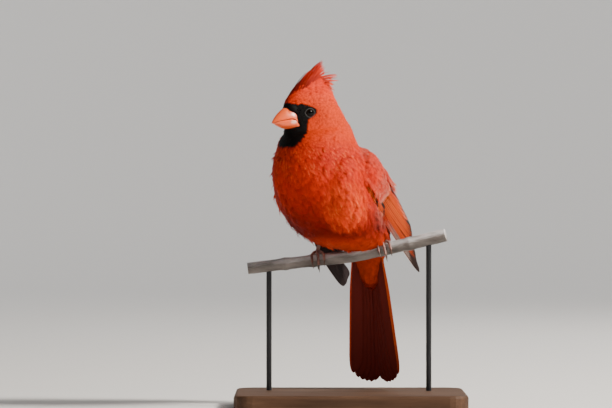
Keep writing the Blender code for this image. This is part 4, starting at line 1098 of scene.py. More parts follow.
def coat_groups(places):
    """Which body feathers each joined mesh takes."""
    forward, side, up = HEAD.local(places).T
    body_forward, body_side, _ = BODY.local(places).T
    on_head = up > HEAD_END
    on_wing = ~on_head & (wing_weight(places)[0] > 0.5)
    on_body = ~on_head & ~on_wing
    return {
        "coat_head_left": on_head & (forward > NAPE_FRONT) & (side > 0),
        "coat_head_right": on_head & (forward > NAPE_FRONT) & (side <= 0),
        "coat_nape_left": on_head & (forward <= NAPE_FRONT) & (side > 0),
        "coat_nape_right": on_head & (forward <= NAPE_FRONT) & (side <= 0),
        "coat_wings": on_wing,
        "coat_breast_left": on_body & (body_forward > BACK_FRONT) & (body_side > 0),
        "coat_breast_right": on_body & (body_forward > BACK_FRONT) & (body_side <= 0),
        "coat_back_left": on_body & (body_forward <= BACK_FRONT) & (body_side > 0),
        "coat_back_right": on_body & (body_forward <= BACK_FRONT) & (body_side <= 0),
    }


def make_coat(surface):
    """All body feathers, in a few joined meshes."""
    places, uv = surface.sample(COAT_SAMPLES)
    length, width, lift, spacing, flow = coat_zones(places)
    spacing = spacing * rng.uniform(0.97, 1.03, len(places))
    chosen = spread(places, spacing)
    chosen = chosen[clear_of_features(places[chosen])]
    places, uv, flow = places[chosen], uv[chosen], flow[chosen]
    length, width, lift = (each[chosen] * rng.uniform(*SIZE_SPREAD, len(chosen))
                           for each in (length, width, lift))
    shapes = [feather_shape(seed) for seed in COAT_SHAPES]
    made = []
    for name, here in coat_groups(places).items():
        index = np.flatnonzero(here)
        marks = coat_marks(places[index] + flow[index] * (length[index] * 0.6)[:, None])
        ruffle = HEAD_RUFFLE if name.startswith(("coat_head", "coat_nape")) else BODY_RUFFLE
        lines = trace_skin(surface, places[index], flow[index], length[index], lift[index], ruffle)
        made.append(feather_mesh(name, lines, width[index], uv[index], marks, shapes))
    return made


def make_soft_coverts(surface):
    """Soft feathers over the roots of both wings' large coverts, and loose ones along their upper edge."""
    shapes = [feather_shape(seed) for seed in COVERT_SHAPES]
    traced, widths, fringes = [], [], []
    for wing in WING.values():
        for name, (first, last, counts, length, width, lift, drift, ruffle) in SOFT_COVERTS.items():
            u, v = np.meshgrid(*(np.linspace(first[k], last[k], counts[k]) for k in (0, 1)))
            u, v = (each.ravel() + rng.uniform(-0.8, 0.8, each.size) for each in (u, v))
            long = length * rng.uniform(*SIZE_SPREAD, u.size)
            traced.append(trace_wing(wing, surface, u, v, long, np.full(u.size, lift), drift, ruffle))
            widths.append(width * rng.uniform(*SIZE_SPREAD, u.size))
            fringes.append(np.full(u.size, 0.95) if name == "scapular" else 0.25 + 0.55 * smooth(0, 16, u))
    lines = tuple(np.concatenate(parts, axis=1) for parts in zip(*traced))
    roots = lines[0][0]
    marks = coat_marks(roots)
    marks["fringe"] = np.concatenate(fringes)
    marks["deep"] = np.zeros(len(roots))
    root_uv = np.array([nearest_uv(surface, root) for root in roots])
    return feather_mesh("coat_wing_coverts", lines, np.concatenate(widths), root_uv, marks, shapes)


def quill(centre, side_dir, normal, widths, camber, outer_share):
    """A flight feather as arrays: rows of points over and under a vane, with a raised shaft.

    centre, side_dir and normal have one row per station. side_dir points from the outer to the inner edge.
    """
    rows = []
    across = QUILL_ACROSS
    shaft = np.exp(-(across / SHAFT_HALF_WIDTH) ** 2)
    share = np.where(across < 0, outer_share * 2, (1 - outer_share) * 2)
    edge = 1 - 0.6 * np.abs(across) ** 6
    for i, station in enumerate(QUILL_STATIONS):
        y = across * widths[i] / 2 * share
        droop = -camber * widths[i] * np.abs(across) ** 1.6
        ridge = shaft * SHAFT_HEIGHT * (1 - 0.75 * station)
        top = centre[i] + np.outer(y, side_dir[i]) + np.outer(droop + ridge, normal[i])
        depth = QUILL_THICKNESS * edge * (1 - 0.5 * station) + ridge * SHAFT_UNDER
        rows.append(np.vstack([top, (top - np.outer(depth, normal[i]))[::-1]]))
    return np.array(rows)


def quill_widths(tip_power):
    """The width of a flight feather along it: narrow at the root, full, and rounded or pointed at the tip."""
    grow = 0.45 + 0.55 * smooth(0, 0.4, QUILL_STATIONS)
    tip = np.clip((1 - QUILL_STATIONS) / QUILL_TIP, 0, 1)
    return grow * np.sqrt(1 - (1 - tip) ** tip_power) + 0.02


def quill_faces():
    """Triangles over the rows of a flight feather, with both ends closed."""
    half, columns = len(QUILL_ACROSS), 2 * len(QUILL_ACROSS)
    last = (len(QUILL_STATIONS) - 1) * columns
    cells = np.array(grid_faces(len(QUILL_STATIONS), columns, caps=False))
    caps = []
    for base in (0, last):
        for j in range(half - 1):
            a, b, c, d = base + j, base + j + 1, base + columns - 2 - j, base + columns - 1 - j
            caps += [(a, b, c), (a, c, d)] if base else [(c, b, a), (d, c, a)]
    return np.concatenate([cells[:, [0, 1, 2]], cells[:, [0, 2, 3]], caps])


def quill_mesh(name, feathers):
    """Joins flight feathers, each (rows, marks, uv root), in one mesh."""
    count, half = len(QUILL_STATIONS), len(QUILL_ACROSS)
    along = np.repeat(QUILL_STATIONS, 2 * half)
    across = np.tile(np.concatenate([QUILL_ACROSS, QUILL_ACROSS[::-1]]), count)
    under = np.tile(np.repeat([0.0, 1.0], half), count)
    faces = quill_faces()
    pieces = []
    for rows, marks, root_uv in feathers:
        values = {"along": along, "across": across, "under": under, **marks}
        pieces.append((rows.reshape(-1, 3), faces, root_uv + uv_patch(along, across / 2), values))
    made = marked_mesh(name, pieces)
    face_outward(made)
    return made


def signed(directions, along):
    """Each direction, turned round if it points away from the one given."""
    return directions * np.sign((directions * along).sum(1))[:, None]


def wing_feather(wing, root, tip, height, slope):
    """Middle line, side direction and normal of one feather of a wing, at every station."""
    s = QUILL_STATIONS
    u = root[0] + (tip[0] - root[0]) * s
    v = root[1] + (tip[1] - root[1]) * s + rng.uniform(-0.15, 0.15)
    rise = QUILL_ROOT_RISE + (height - QUILL_ROOT_RISE) * smooth(0, 0.3, s)
    centre = wing.point(u, v, rise)
    out = wing.normal(u, v)
    across = unit(wing.point(u, v + 1, 0) - wing.point(u, v, 0))
    normal = unit(out + across * slope)
    ahead = unit(np.gradient(centre, axis=0))
    to_side = signed(unit(np.cross(ahead, normal) * wing.sign), across)
    return centre, to_side, signed(unit(np.cross(to_side, ahead)), out), np.ptp(u)


def wing_feathers(side, surface):
    """The flight feathers and large coverts of one wing, as a joined mesh."""
    wing = WING[side]
    feathers = []
    shares = {**OUTER_SHARES, "primaries": PRIMARY_OUTER_SHARE[side]}
    for row, (count, root0, root1, tip0, tip1, width, height0, height1, slope) in WING_ROWS.items():
        primary = row == "primaries"
        if primary:
            tip1 = INNER_PRIMARY_TIP[side]
        fullness = LONG_ROW_FULLNESS if row in ("primaries", "secondaries", "tertials") else 1.0
        widths = width * quill_widths(PRIMARY_TIP_POWER[side] if primary else 2.0) * fullness
        pale, red, covert, reach = WING_TINTS[row]
        for t in np.arange(count) / (count - 1):
            root = array(*root0) * (1 - t) + array(*root1) * t
            tip = array(*tip0) * (1 - t) + array(*tip1) * t
            tip[0] += rng.uniform(-0.5, 0.5)
            if primary:
                tip[0] -= OUTER_PRIMARY_DROP[side] * max(0.0, 1 - 3 * t) ** 2
            height = height0 + (height1 - height0) * t
            centre, to_side, normal, length = wing_feather(wing, root, tip, height, slope)
            rows = quill(centre, to_side, normal, widths, WING_CAMBER, shares.get(row, shares["coverts"]))
            spot, _ = surface.nearest(centre[:1])
            marks = {"shade": rng.random(), "length": length, "covert": covert, "reach": reach,
                     "pale": pale * float(t < 0.56), "red": float(smooth(0.4, 0.6, t)) if primary else red}
            feathers.append((rows, marks, nearest_uv(surface, spot[0])))
    return quill_mesh(f"flight_feathers_{side}", feathers)


def nearest_uv(surface, place):
    _, _, face, _ = surface.tree.find_nearest(place.tolist())
    return surface.uv[face].mean(0)


def tail_feathers(surface):
    """Twelve tail feathers, the middle pair uppermost."""
    feathers = []
    s = QUILL_STATIONS
    for sign in (1, -1):
        for index, length in enumerate(TAIL_LENGTHS):
            height = -TAIL_LAYER * index + (TAIL_MIDDLE_LIFT if index == 0 and sign > 0 else 0)
            along = 2 + (length - 2) * s
            left = sign * (TAIL_ROOT_PLACES[index] + (TAIL_TIP_PLACES[index] - TAIL_ROOT_PLACES[index]) * s)
            centre = TAIL.point(along, left, height + 0.5 * np.sin(np.pi * s) * rng.uniform(-0.3, 0.3))
            ahead = unit(np.gradient(centre, axis=0))
            tilt = TAIL.upper + TAIL.left * (2 * TAIL_ARCH * left)[:, None]
            outer = signed(unit(np.cross(tilt, ahead)), TAIL.left * sign)
            normal = signed(unit(np.cross(outer, ahead)), TAIL.upper)
            widths = TAIL_FEATHER_WIDTH * quill_widths(2.2)
            rows = quill(centre, -outer, normal, widths, TAIL_CAMBER, 0.44 - 0.03 * index)
            # The outer pair's red is narrower on the bird's right side: painted shade.
            marks = {"shade": rng.random(), "length": length, "covert": 0.0, "pale": 0.0, "red": 1.0,
                     "reach": TAIL_REACH_WITH_SHADE[sign] if index == 5 else TAIL_INNER_REACH}
            feathers.append((rows, marks, nearest_uv(surface, centre[0])))
    return quill_mesh("tail_feathers", feathers)


def crest_marks(row, height):
    """The markings of a crest feather in its row, which is black below the frontal band's top, with painted
    light on the back rows and deeper red that is partly painted shade on the front rows.
    """
    return {
        "black": float(height < FRONTAL_BAND_TOP),
        "fringe": 0.35 * (row > 15),
        "orange": 0.0,
        "pale": 0.0,
        # Painted light on the back rows; the front rows' deeper red is partly painted shade.
        "painted_light": float(smooth(9, 17, row)) * 0.5,
        "deep": 0.2 + 0.55 * float(smooth(12, 2, row)),
    }


def crest_feather(surface, root, tip, width, shape):
    """One crest feather's points, bent in a curve from its root on the skin to its tip, and that root."""
    spot, normal = surface.nearest(root[None])
    root, out = spot[0] - normal[0] * CREST_SINK, normal[0]
    s = np.linspace(0, 1, CREST_STEPS + 1)
    middle = (root + tip) / 2 + out * np.linalg.norm(tip - root) * CREST_BOW
    line = np.outer((1 - s) ** 2, root) + np.outer(2 * s * (1 - s), middle) + np.outer(s * s, tip)
    ahead = unit(np.gradient(line, axis=0))
    face = unit(out - ahead * (ahead @ out)[:, None])
    side = np.cross(face, ahead)
    line, side, face = (values_along(values, shape[:, 0], CREST_STEPS) for values in (line, side, face))
    return line + side * shape[:, 1:2] * width + face * shape[:, 2:3] * width, root


def make_crest(surface):
    """The crest: rows of long feathers that sweep back and up and close to a point."""
    shapes = [lock_shape(seed) for seed in CREST_SHAPES]
    pieces = []
    for row, ((f0, z0), (f1, z1), spread_out, width, count) in enumerate(CREST_ROWS):
        for column in range(count):
            across = 2 * column / (count - 1) - 1 + rng.normal(0, 0.05)
            jitter = rng.normal(0, 1, 3)
            drop = across * across
            side = across * spread_out
            root = HEAD.place((f0 - CREST_ROOT_DROP[0] * drop, side, z0 - CREST_ROOT_DROP[1] * drop))
            tip = HEAD.place((f1 - CREST_TIP_DROP[0] * drop + jitter[0] * 0.7,
                              side * CREST_TIP_DRAW + jitter[1] * 0.4,
                              z1 - CREST_TIP_DROP[1] * drop + jitter[2] * 0.7))
            shape, cells = shapes[rng.integers(len(shapes))]
            points, root = crest_feather(surface, root, tip, width, shape)
            values = {**crest_marks(row, z0 - CREST_ROOT_DROP[1] * drop), "along": shape[:, 0],
                      "across": shape[:, 1] * 2, "shade": rng.random()}
            uv = nearest_uv(surface, root) + uv_patch(shape[:, 0], shape[:, 1])
            pieces.append((points, cells, uv, values))
    return marked_mesh("crest_feathers", pieces)


def tube(path, radii, sides):
    """Rings round a path, with a radius at each point."""
    path = np.asarray(path, float)
    ahead = unit(np.gradient(path, axis=0))
    across = np.cross(ahead[0], (0.3, 0.2, 1))
    rings = []
    angle = circle(sides)
    for centre, direction, radius in zip(path, ahead, radii):
        across = unit(across - direction * (across @ direction))
        other = np.cross(direction, across)
        rings.append(centre + radius * (np.outer(np.cos(angle), across) + np.outer(np.sin(angle), other)))
    return rings


def perch_centre(x):
    fine = curve_through(PERCH_LINE, 10)
    return array(x, np.interp(x, fine[:, 0], fine[:, 1]), np.interp(x, fine[:, 0], fine[:, 2]))


def round_perch(x, angle, offset, radius):
    """A place beside the branch: angle is from its top towards the front, offset is along it."""
    tangent = unit(perch_centre(x + 2) - perch_centre(x - 2))
    front = array(0, -1, 0)
    up = np.cross(front, tangent)
    if up[2] < 0:
        up = -up
    return perch_centre(x) + tangent * offset + (up * math.cos(angle) + front * math.sin(angle)) * radius


def scuted(path, start, end, scutes, step):
    """A finely sampled path whose radius swells over each scute and drops at its lower edge."""
    path = np.asarray(path, float)
    lengths = np.concatenate([[0], np.cumsum(np.linalg.norm(np.diff(path, axis=0), axis=1))])
    t = np.linspace(0, 1, scutes * SCUTE_SAMPLES + 1)
    line = np.stack([np.interp(t * lengths[-1], lengths, path[:, k]) for k in range(3)], 1)
    phase = (t * scutes) % 1.0
    swelling = SCUTE_START + (1 - SCUTE_START) * phase / SCUTE_EDGE
    swell = np.where(phase > SCUTE_EDGE, (1 - phase) / SCUTE_DROP, swelling)
    swell[-1] = 0
    return line, start + (end - start) * t + step * swell


def tarsus(heel, ankle):
    """A leg's bare part, and the ball from which the toes part."""
    line, radii = scuted([heel, ankle + (ankle - heel) * 0.02], TARSUS_RADIUS * 1.1, TARSUS_RADIUS * 0.95,
                         TARSUS_SCUTES, TARSUS_SCUTE_STEP)
    places = np.linspace(*BALL_SPAN, 9)
    ball = [ankle + unit(heel - ankle) * s for s in places]
    ball_radii = [BALL_RADIUS * math.sqrt(max(0.02, 1 - (s / BALL_REACH) ** 2)) for s in places]
    return [tube(line, radii, TARSUS_SIDES), tube(ball, ball_radii, TARSUS_SIDES)]


def toe_path(x, lean, end_angle, straight):
    """A toe's middle line round the branch and, for a front toe, straight on from it."""
    reach = PERCH_RADIUS + TOE_RADIUS + TOE_CLEARANCE
    t = np.linspace(0, 1, 14)
    angles = FOOT_TOP_ANGLE + (math.radians(end_angle) - FOOT_TOP_ANGLE) * t
    path = [round_perch(x, angle, lean * min(1, 1.4 * k), reach) for angle, k in zip(angles, t)]
    ahead = unit(path[-1] - path[-2])
    if straight:
        path += [path[-1] + ahead * straight * k for k in TOE_ENDS]
    return path, ahead


def toe_pads(x, line):
    """Soft pads from a toe's line to the branch."""
    pads = []
    for share in PAD_PLACES:
        at = line[int(share * (len(line) - 1))]
        towards = unit(perch_centre(x) + (at - perch_centre(x)) * array(1, 0, 0) - at)
        pads.append(tube([at + towards * s for s in PAD_DEPTHS], PAD_RADII, CLAW_SIDES))
    return pads


def claw_rings(x, end, ahead, length, forward):
    """A curved claw that starts inside a toe's end."""
    inward = perch_centre(x) - end
    inward = unit(inward - ahead * (inward @ ahead))
    k = np.linspace(0, 1, 12)
    curl = CLAW_CURL[forward] * k**CLAW_CURL_POWER
    line = [end + ahead * length * (a - CLAW_ROOT) + inward * length * b for a, b in zip(k, curl)]
    return tube(line, CLAW_RADIUS * (1 - k) ** CLAW_TAPER + CLAW_POINT, CLAW_SIDES)


def make_feet():
    """Legs with scutes, toes and separate curved claws."""
    made = []
    toes = [(*sizes, True) for sizes in FRONT_TOES.values()]
    toes.append((HIND_TOE_LEAN, HIND_TOE[0], 0, HIND_TOE[1], False))
    for side, x in FOOT_X.items():
        sign = 1 if side == "left" else -1
        ankle = round_perch(x, FOOT_TOP_ANGLE, 0, PERCH_RADIUS + ANKLE_HEIGHT)
        skin_parts, claws = tarsus(BODY.place(HEEL[side]), ankle), []
        for lean, end_angle, straight, claw, forward in toes:
            path, ahead = toe_path(x, lean * sign, end_angle, straight)
            line, radii = scuted(path, TOE_RADIUS * 1.05, TOE_RADIUS * 0.82,
                                 TOE_SCUTES[forward], TOE_SCUTE_STEP)
            skin_parts += [tube(line, radii, TOE_SIDES), *toe_pads(x, line)]
            claws.append(claw_rings(x, path[-1], ahead, claw, forward))
        leg = join_lofts(f"foot_{side}", skin_parts)
        claw_piece = join_lofts(f"claws_{side}", claws)
        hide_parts(f"leg_{side}")
        made += [leg, claw_piece]
    return made


def bill_section(forward, top, bottom, half_width, upper):
    """One ring of a mandible: its arched outside, and a nearly flat side at the mouth."""
    angle = np.linspace(0, np.pi, BILL_SIDES + 1)
    height = np.sin(angle) ** BILL_ARCH[upper]
    ridge = CULMEN_RIDGE * np.exp(-((angle - np.pi / 2) / CULMEN_RIDGE_SPREAD) ** 2)
    z = bottom + (top - bottom) * height + ridge if upper else top - (top - bottom) * height
    inner = np.linspace(-half_width, half_width, BILL_FLOOR_POINTS + 2)[1:-1]
    rim = BILL_FLOOR_RISE * (1 - (inner / half_width) ** 2)
    base = bottom + rim if upper else top - rim
    side, up = np.concatenate([half_width * np.cos(angle), inner]), np.concatenate([z, base])
    return np.column_stack([np.full(len(side), forward), side, up])


def bill_rings(upper):
    """The rings of one mandible from the face to its tip, in the head's frame, with the nostril's pit."""
    share = np.linspace(0, 1, BILL_RINGS) ** BILL_RING_POWER
    outlines = (BILL_CULMEN, BILL_MOUTH, BILL_KEEL, BILL_HALF_WIDTH)
    culmen, mouth, keel, half = (curve_through(rows, BILL_CURVE_STEPS) for rows in outlines)
    rings = []
    for f in BILL_START + (BILL_END[upper] - BILL_START) * share:
        top = np.interp(f, *culmen.T) if upper else np.interp(f, *mouth.T) - MOUTH_HALF_GAP
        bottom = np.interp(f, *mouth.T) + MOUTH_HALF_GAP if upper else np.interp(f, *keel.T)
        bottom = min(bottom, top - BILL_LEAST_DEPTH)
        wide = np.interp(f, *half.T) * (1 if upper else float(table(LOWER_WIDTH, f)))
        ring = bill_section(f, top, bottom, max(BILL_LEAST_WIDTH, wide), upper)
        if upper:
            side = np.sign(ring[:, 1])
            away = ring - array(NOSTRIL[0], 0, NOSTRIL[2]) - np.outer(side, array(0, NOSTRIL[1], 0))
            away = np.linalg.norm(away, axis=1)
            ring[:, 1] -= side * (NOSTRIL_DEPTH * np.exp(-(away / NOSTRIL_RADIUS) ** 2))
        rings.append(HEAD.place(ring))
    return rings


def make_bill():
    """Both mandibles, with the nostril pits and the line of the mouth between them."""
    made = []
    for upper, name in ((True, "bill_upper_horn"), (False, "bill_lower_horn")):
        horn = join_lofts(name, [bill_rings(upper)])
        smoothing = horn.modifiers.new("smooth", "SUBSURF")
        smoothing.levels = smoothing.render_levels = 1
        apply_modifiers(horn)
        horn.data.shade_smooth()
        # A painted highlight: a pale patch on the lower mandible's sides near the gape, none on the upper.
        away = np.linalg.norm((mirrored(HEAD.local(mesh_points(horn))) - GAPE_HIGHLIGHT_SPOT) / GAPE_HIGHLIGHT_REACH, axis=1)
        set_attribute(horn, "gape", (0.0 if upper else GAPE_HIGHLIGHT_SHARE) * smooth(1.0, 0.3, away))
        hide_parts("bill_upper" if upper else "bill_lower")
        made.append(horn)
    return made


def make_eyeball(side, centre, look, ahead, up):
    """An eyeball with a slight bulge at the cornea."""
    polar = np.linspace(0, EYE_END, EYE_RINGS)[1:]
    turn = circle(EYE_SIDES)
    around = np.outer(np.cos(turn), ahead) + np.outer(np.sin(turn), up)
    bulge = EYE_RADIUS + CORNEA_RISE * np.exp(-(polar / CORNEA_SPREAD) ** 2)
    ball = join_lofts(f"eyeball_{side}", [[
        HEAD.place(centre + look * radius * math.cos(angle) + around * radius * math.sin(angle))
        for angle, radius in zip(polar, bulge)
    ]])
    tilt = np.degrees(np.arccos(np.clip((unit(HEAD.local(mesh_points(ball)) - centre)) @ look, -1, 1)))
    set_attribute(ball, "tilt", tilt)
    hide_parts(f"eye_{side}")
    return ball


def make_lid(side, centre, look, ahead, up):
    """A ring of fine lid scales, drawn out to a corner at either end of the eye."""
    rings = []
    profile = circle(LID_SIDES)
    for a in np.linspace(0, 2 * np.pi, LID_STEPS + 1)[:-1]:
        squash = 1 - LID_SQUASH * abs(math.sin(a)) ** 2
        front = LID_CORNERS[0] * math.exp(-(min(a, 2 * np.pi - a) / LID_CORNER_SPREAD) ** 2)
        corner = LID_CORNERS[1] * math.exp(-((a - np.pi) / LID_CORNER_SPREAD) ** 2) + front
        major = LID_RADIUS * squash + corner
        scale = LID_THICKNESS + LID_SCALE_HEIGHT * math.cos(a * LID_SCALES)
        spoke = ahead * math.cos(a) + up * math.sin(a)
        sink = LID_DEPTH - LID_SLOPE * (major - LID_SLOPE_START)
        ring = [centre + look * (sink + scale * LID_FLATNESS * math.sin(p))
                + spoke * (major + scale * math.cos(p)) for p in profile]
        rings.append(HEAD.place(np.array(ring)))
    faces = grid_faces(LID_STEPS, LID_SIDES, caps=False)
    last = (LID_STEPS - 1) * LID_SIDES
    for j in range(LID_SIDES):
        after = (j + 1) % LID_SIDES
        faces.append((last + j, last + after, after, j))
    lid = build_mesh(f"eyelid_{side}", np.concatenate(rings), faces)
    face_outward(lid)
    return lid


def make_eyes():
    """Glossy eyeballs, each with a ring of fine lid scales."""
    made = []
    up = array(0, 0, 1)
    for side, sign in (("left", 1), ("right", -1)):
        centre = array(EYE_CENTRE[0], sign * EYE_CENTRE[1], EYE_CENTRE[2])
        look = eye_look(sign)
        ahead = unit(np.cross(up, look))
        made += [make(side, centre, look, ahead, up) for make in (make_eyeball, make_lid)]
    return made


def bark_height(x, angle):
    """How far the bark's ridges and its fine grain stand out from a smooth branch."""
    place = Vector((x * 0.09, math.cos(angle) * 1.3, math.sin(angle) * 1.3))
    rough = noise.noise(place) * 0.22 + noise.noise(place * 3.1) * 0.10
    grain = noise.noise(Vector((x * 0.25, angle * 5.2, 3.0))) * 0.09
    return rough, grain


def make_perch():
    """The cut branch: bark with low ridges and nodes, and sawn ends."""
    line = curve_through(PERCH_LINE, PERCH_STEPS)
    ahead = unit(np.gradient(line, axis=0))
    rings = []
    for centre, direction in zip(line, ahead):
        x = centre[0]
        across = unit(np.cross(direction, (0, 0, 1)))
        other = np.cross(across, direction)
        swell = sum(size * max(0, 1 - abs(x - node) / PERCH_NODE_REACH) ** 1.5
                    for node, size in PERCH_NODES.items())
        radius = PERCH_RADIUS * (1 + PERCH_TAPER * x) + swell
        ring = []
        for a in circle(PERCH_SIDES):
            rough, grain = bark_height(x, a)
            spoke = across * math.cos(a) + other * math.sin(a)
            ring.append(centre + spoke * (radius + rough + grain - BARK_SINK))
        rings.append(np.array(ring))
    caps = {}
    for end, out in ((0, -PERCH_CAP_BULGE), (-1, PERCH_CAP_BULGE)):
        middle = rings[end].mean(0)
        caps[end] = [middle + (rings[end] - middle) * share + ahead[end] * out for share in PERCH_CAP_SHARES]
    perch = join_lofts("branch", [[*caps[0][::-1], *rings, *caps[-1]]])
    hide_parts("perch")
    return perch


def new_material(name):
    material = bpy.data.materials.new(name)
    material.use_nodes = True
    tree = material.node_tree
    return material, tree, tree.nodes["Principled BSDF"]


def add(tree, kind, **settings):
    """A node with its own settings and input values."""
    node = tree.nodes.new(kind)
    for key, value in settings.items():
        if hasattr(node, key):
            setattr(node, key, value)
        else:
            node.inputs[key].default_value = value
    return node


def attribute(tree, name):
    return add(tree, "ShaderNodeAttribute", attribute_name=name).outputs["Fac"]


def link(tree, source, target):
    tree.links.new(source, target)


def put(tree, value, socket):
    """Sets a socket to a fixed value, or links it to another node's output."""
    if isinstance(value, bpy.types.NodeSocket):
        link(tree, value, socket)
    else:
        socket.default_value = value


def finish(tree, shader, **inputs):
    """Sets or links the shader's inputs. They go by their labels, with underscores for spaces."""
    for key, value in inputs.items():
        put(tree, value, shader.inputs[key.replace("_", " ")])


def math_node(tree, operation, a, b=None, clamp=False):
    node = add(tree, "ShaderNodeMath", operation=operation, use_clamp=clamp)
    put(tree, a, node.inputs[0])
    if b is not None:
        put(tree, b, node.inputs[1])
    return node.outputs[0]


def times(tree, a, b):
    return math_node(tree, "MULTIPLY", a, b)


def plus(tree, a, b):
    return math_node(tree, "ADD", a, b)


def mix(tree, factor, a, b, blend="MIX"):
    node = add(tree, "ShaderNodeMix", data_type="RGBA", blend_type=blend)
    for value, index in ((factor, 0), (a, 6), (b, 7)):
        put(tree, value, node.inputs[index])
    return node.outputs[2]


def ramp(tree, factor, stops):
    node = add(tree, "ShaderNodeValToRGB")
    elements = node.color_ramp.elements
    while len(elements) < len(stops):
        elements.new(0.5)
    for element, (position, colour) in zip(elements, stops):
        element.position = position
        element.color = colour
    link(tree, factor, node.inputs[0])
    return node.outputs[0]


def noise_value(tree, scale, detail=3.0, vector=None):
    node = add(tree, "ShaderNodeTexNoise", Scale=scale, Detail=detail)
    coordinates = vector or add(tree, "ShaderNodeTexCoord").outputs["Object"]
    link(tree, coordinates, node.inputs["Vector"])
    return node.outputs["Fac"]


def stretched(tree, scale):
    """Object coordinates, scaled along each axis."""
    mapping = add(tree, "ShaderNodeMapping", Scale=scale)
    link(tree, add(tree, "ShaderNodeTexCoord").outputs["Object"], mapping.inputs["Vector"])
    return mapping.outputs[0]


def bump(tree, shader, height, strength, distance):
    node = add(tree, "ShaderNodeBump", Strength=strength, Distance=distance)
    link(tree, height, node.inputs["Height"])
    link(tree, node.outputs[0], shader.inputs["Normal"])


def marked_red(tree, along, varied):
    """The plumage colour with its markings and its painted light, sheen and shade, from the attributes that
    skin and feathers share.
    """
    tip = mix(tree, varied, SCARLET, ORANGE_RED)
    # Deeper red low on the body and at the crest's front, partly painted shade.
    tip = mix(tree, attribute(tree, "deep"), tip, DEEP_RED_AND_SHADE)
    # Painted light on cheek, nape, flank and the crest's back rows.
    tip = mix(tree, times(tree, attribute(tree, "painted_light"), 0.6), tip, LIT_ORANGE)
    tip = mix(tree, attribute(tree, "orange"), tip, UNDERTAIL)
    near_end = ramp(tree, along, [(0.48, BLACK), (0.92, WHITE)])
    fringe = math_node(tree, "MULTIPLY", attribute(tree, "fringe"), near_end, clamp=True)
    tip = mix(tree, fringe, tip, FRINGE)
    # Painted sheen along the middle of some feather tips.
    sheen_end = ramp(tree, along, [(0.45, BLACK), (0.8, WHITE)])
    off_middle = times(tree, math_node(tree, "ABSOLUTE", attribute(tree, "across")), 2.6)
    narrow = math_node(tree, "SUBTRACT", 1.0, off_middle, clamp=True)
    streak = times(tree, times(tree, attribute(tree, "pale"), sheen_end), narrow)
    tip = mix(tree, streak, tip, SHEEN_TIP_COLOUR)
    return mix(tree, attribute(tree, "black"), tip, FACE_BLACK)


def coat_material():
    """Body feathers: dark roots, scarlet ends, black face, grey-brown fringes on the back."""
    material, tree, shader = new_material("red_plumage")
    along = attribute(tree, "along")
    patch = noise_value(tree, 55, 2)
    varied = plus(tree, times(tree, attribute(tree, "shade"), 0.42), times(tree, patch, 0.4))
    depth = ramp(tree, along, COAT_DEPTHS)
    colour = mix(tree, 1.0, depth, marked_red(tree, along, varied), "MULTIPLY")
    finish(tree, shader, Base_Color=colour, Roughness=0.6, Specular_IOR_Level=0.12)
    barbs = math_node(tree, "SINE", times(tree, attribute(tree, "across"), 42.0))
    bump(tree, shader, barbs, 0.20, 0.0001)
    return material


def skin_material():
    """The skin under the coat, with the same markings, painted light and painted shade in darker tones."""
    material, tree, shader = new_material("skin_under_plumage")
    patch = noise_value(tree, 240, 4)
    dark = ramp(tree, patch, SKIN_TONES)
    colour = mix(tree, 1.0, dark, marked_red(tree, patch, patch), "MULTIPLY")
    finish(tree, shader, Base_Color=colour, Roughness=0.85)
    bump(tree, shader, patch, 0.4, 0.0003)
    return material


def flight_material(name, inner_dark, under_tint, under_share):
    """Flight feathers: red outer web, dark inner web, pale outer edge on some, dark shaft and fine barbs.

    under_share is how much of the outer web's red shows on the underside.
    """
    material, tree, shader = new_material(name)
    across, along = attribute(tree, "across"), attribute(tree, "along")
    shade, covert = attribute(tree, "shade"), attribute(tree, "covert")
    grain = noise_value(tree, 900, 2)
    wander = times(tree, math_node(tree, "SUBTRACT", grain, 0.5), 0.3)
    wavering = plus(tree, across, wander)
    outer = math_node(tree, "LESS_THAN", wavering, attribute(tree, "reach"))
    outer = times(tree, outer, attribute(tree, "red"))
    under_red = times(tree, outer, under_share)
    tone = plus(tree, times(tree, shade, 0.5), times(tree, grain, 0.4))
    red = mix(tree, tone, WING_RED, WING_ORANGE)
    inner = mix(tree, times(tree, covert, 0.45), inner_dark, SCARLET)
    colour = mix(tree, outer, inner, red)
    near_end = ramp(tree, along, [(0.80, BLACK), (1.0, WHITE)])
    tip_tint = mix(tree, covert, inner_dark, FRINGE)
    colour = mix(tree, times(tree, near_end, 0.55), colour, tip_tint)
    edge = times(tree, math_node(tree, "LESS_THAN", across, -0.88), attribute(tree, "pale"))
    colour = mix(tree, times(tree, edge, 0.92), colour, ramp(tree, along, EDGE_TONES))
    middle = math_node(tree, "LESS_THAN", math_node(tree, "ABSOLUTE", across), 0.07)
    colour = mix(tree, times(tree, middle, 0.8), colour, SHAFT)
    beneath = times(tree, attribute(tree, "under"), math_node(tree, "SUBTRACT", 0.85, under_red))
    colour = mix(tree, math_node(tree, "MAXIMUM", beneath, 0.0), colour, under_tint)
    finish(tree, shader, Base_Color=colour, Roughness=0.55, Specular_IOR_Level=0.12)
    reach = times(tree, times(tree, along, attribute(tree, "length")), 9.0)
    slant = plus(tree, reach, times(tree, math_node(tree, "ABSOLUTE", across), -30.0))
    bump(tree, shader, math_node(tree, "SINE", slant), 0.18, 0.00006)
    return material


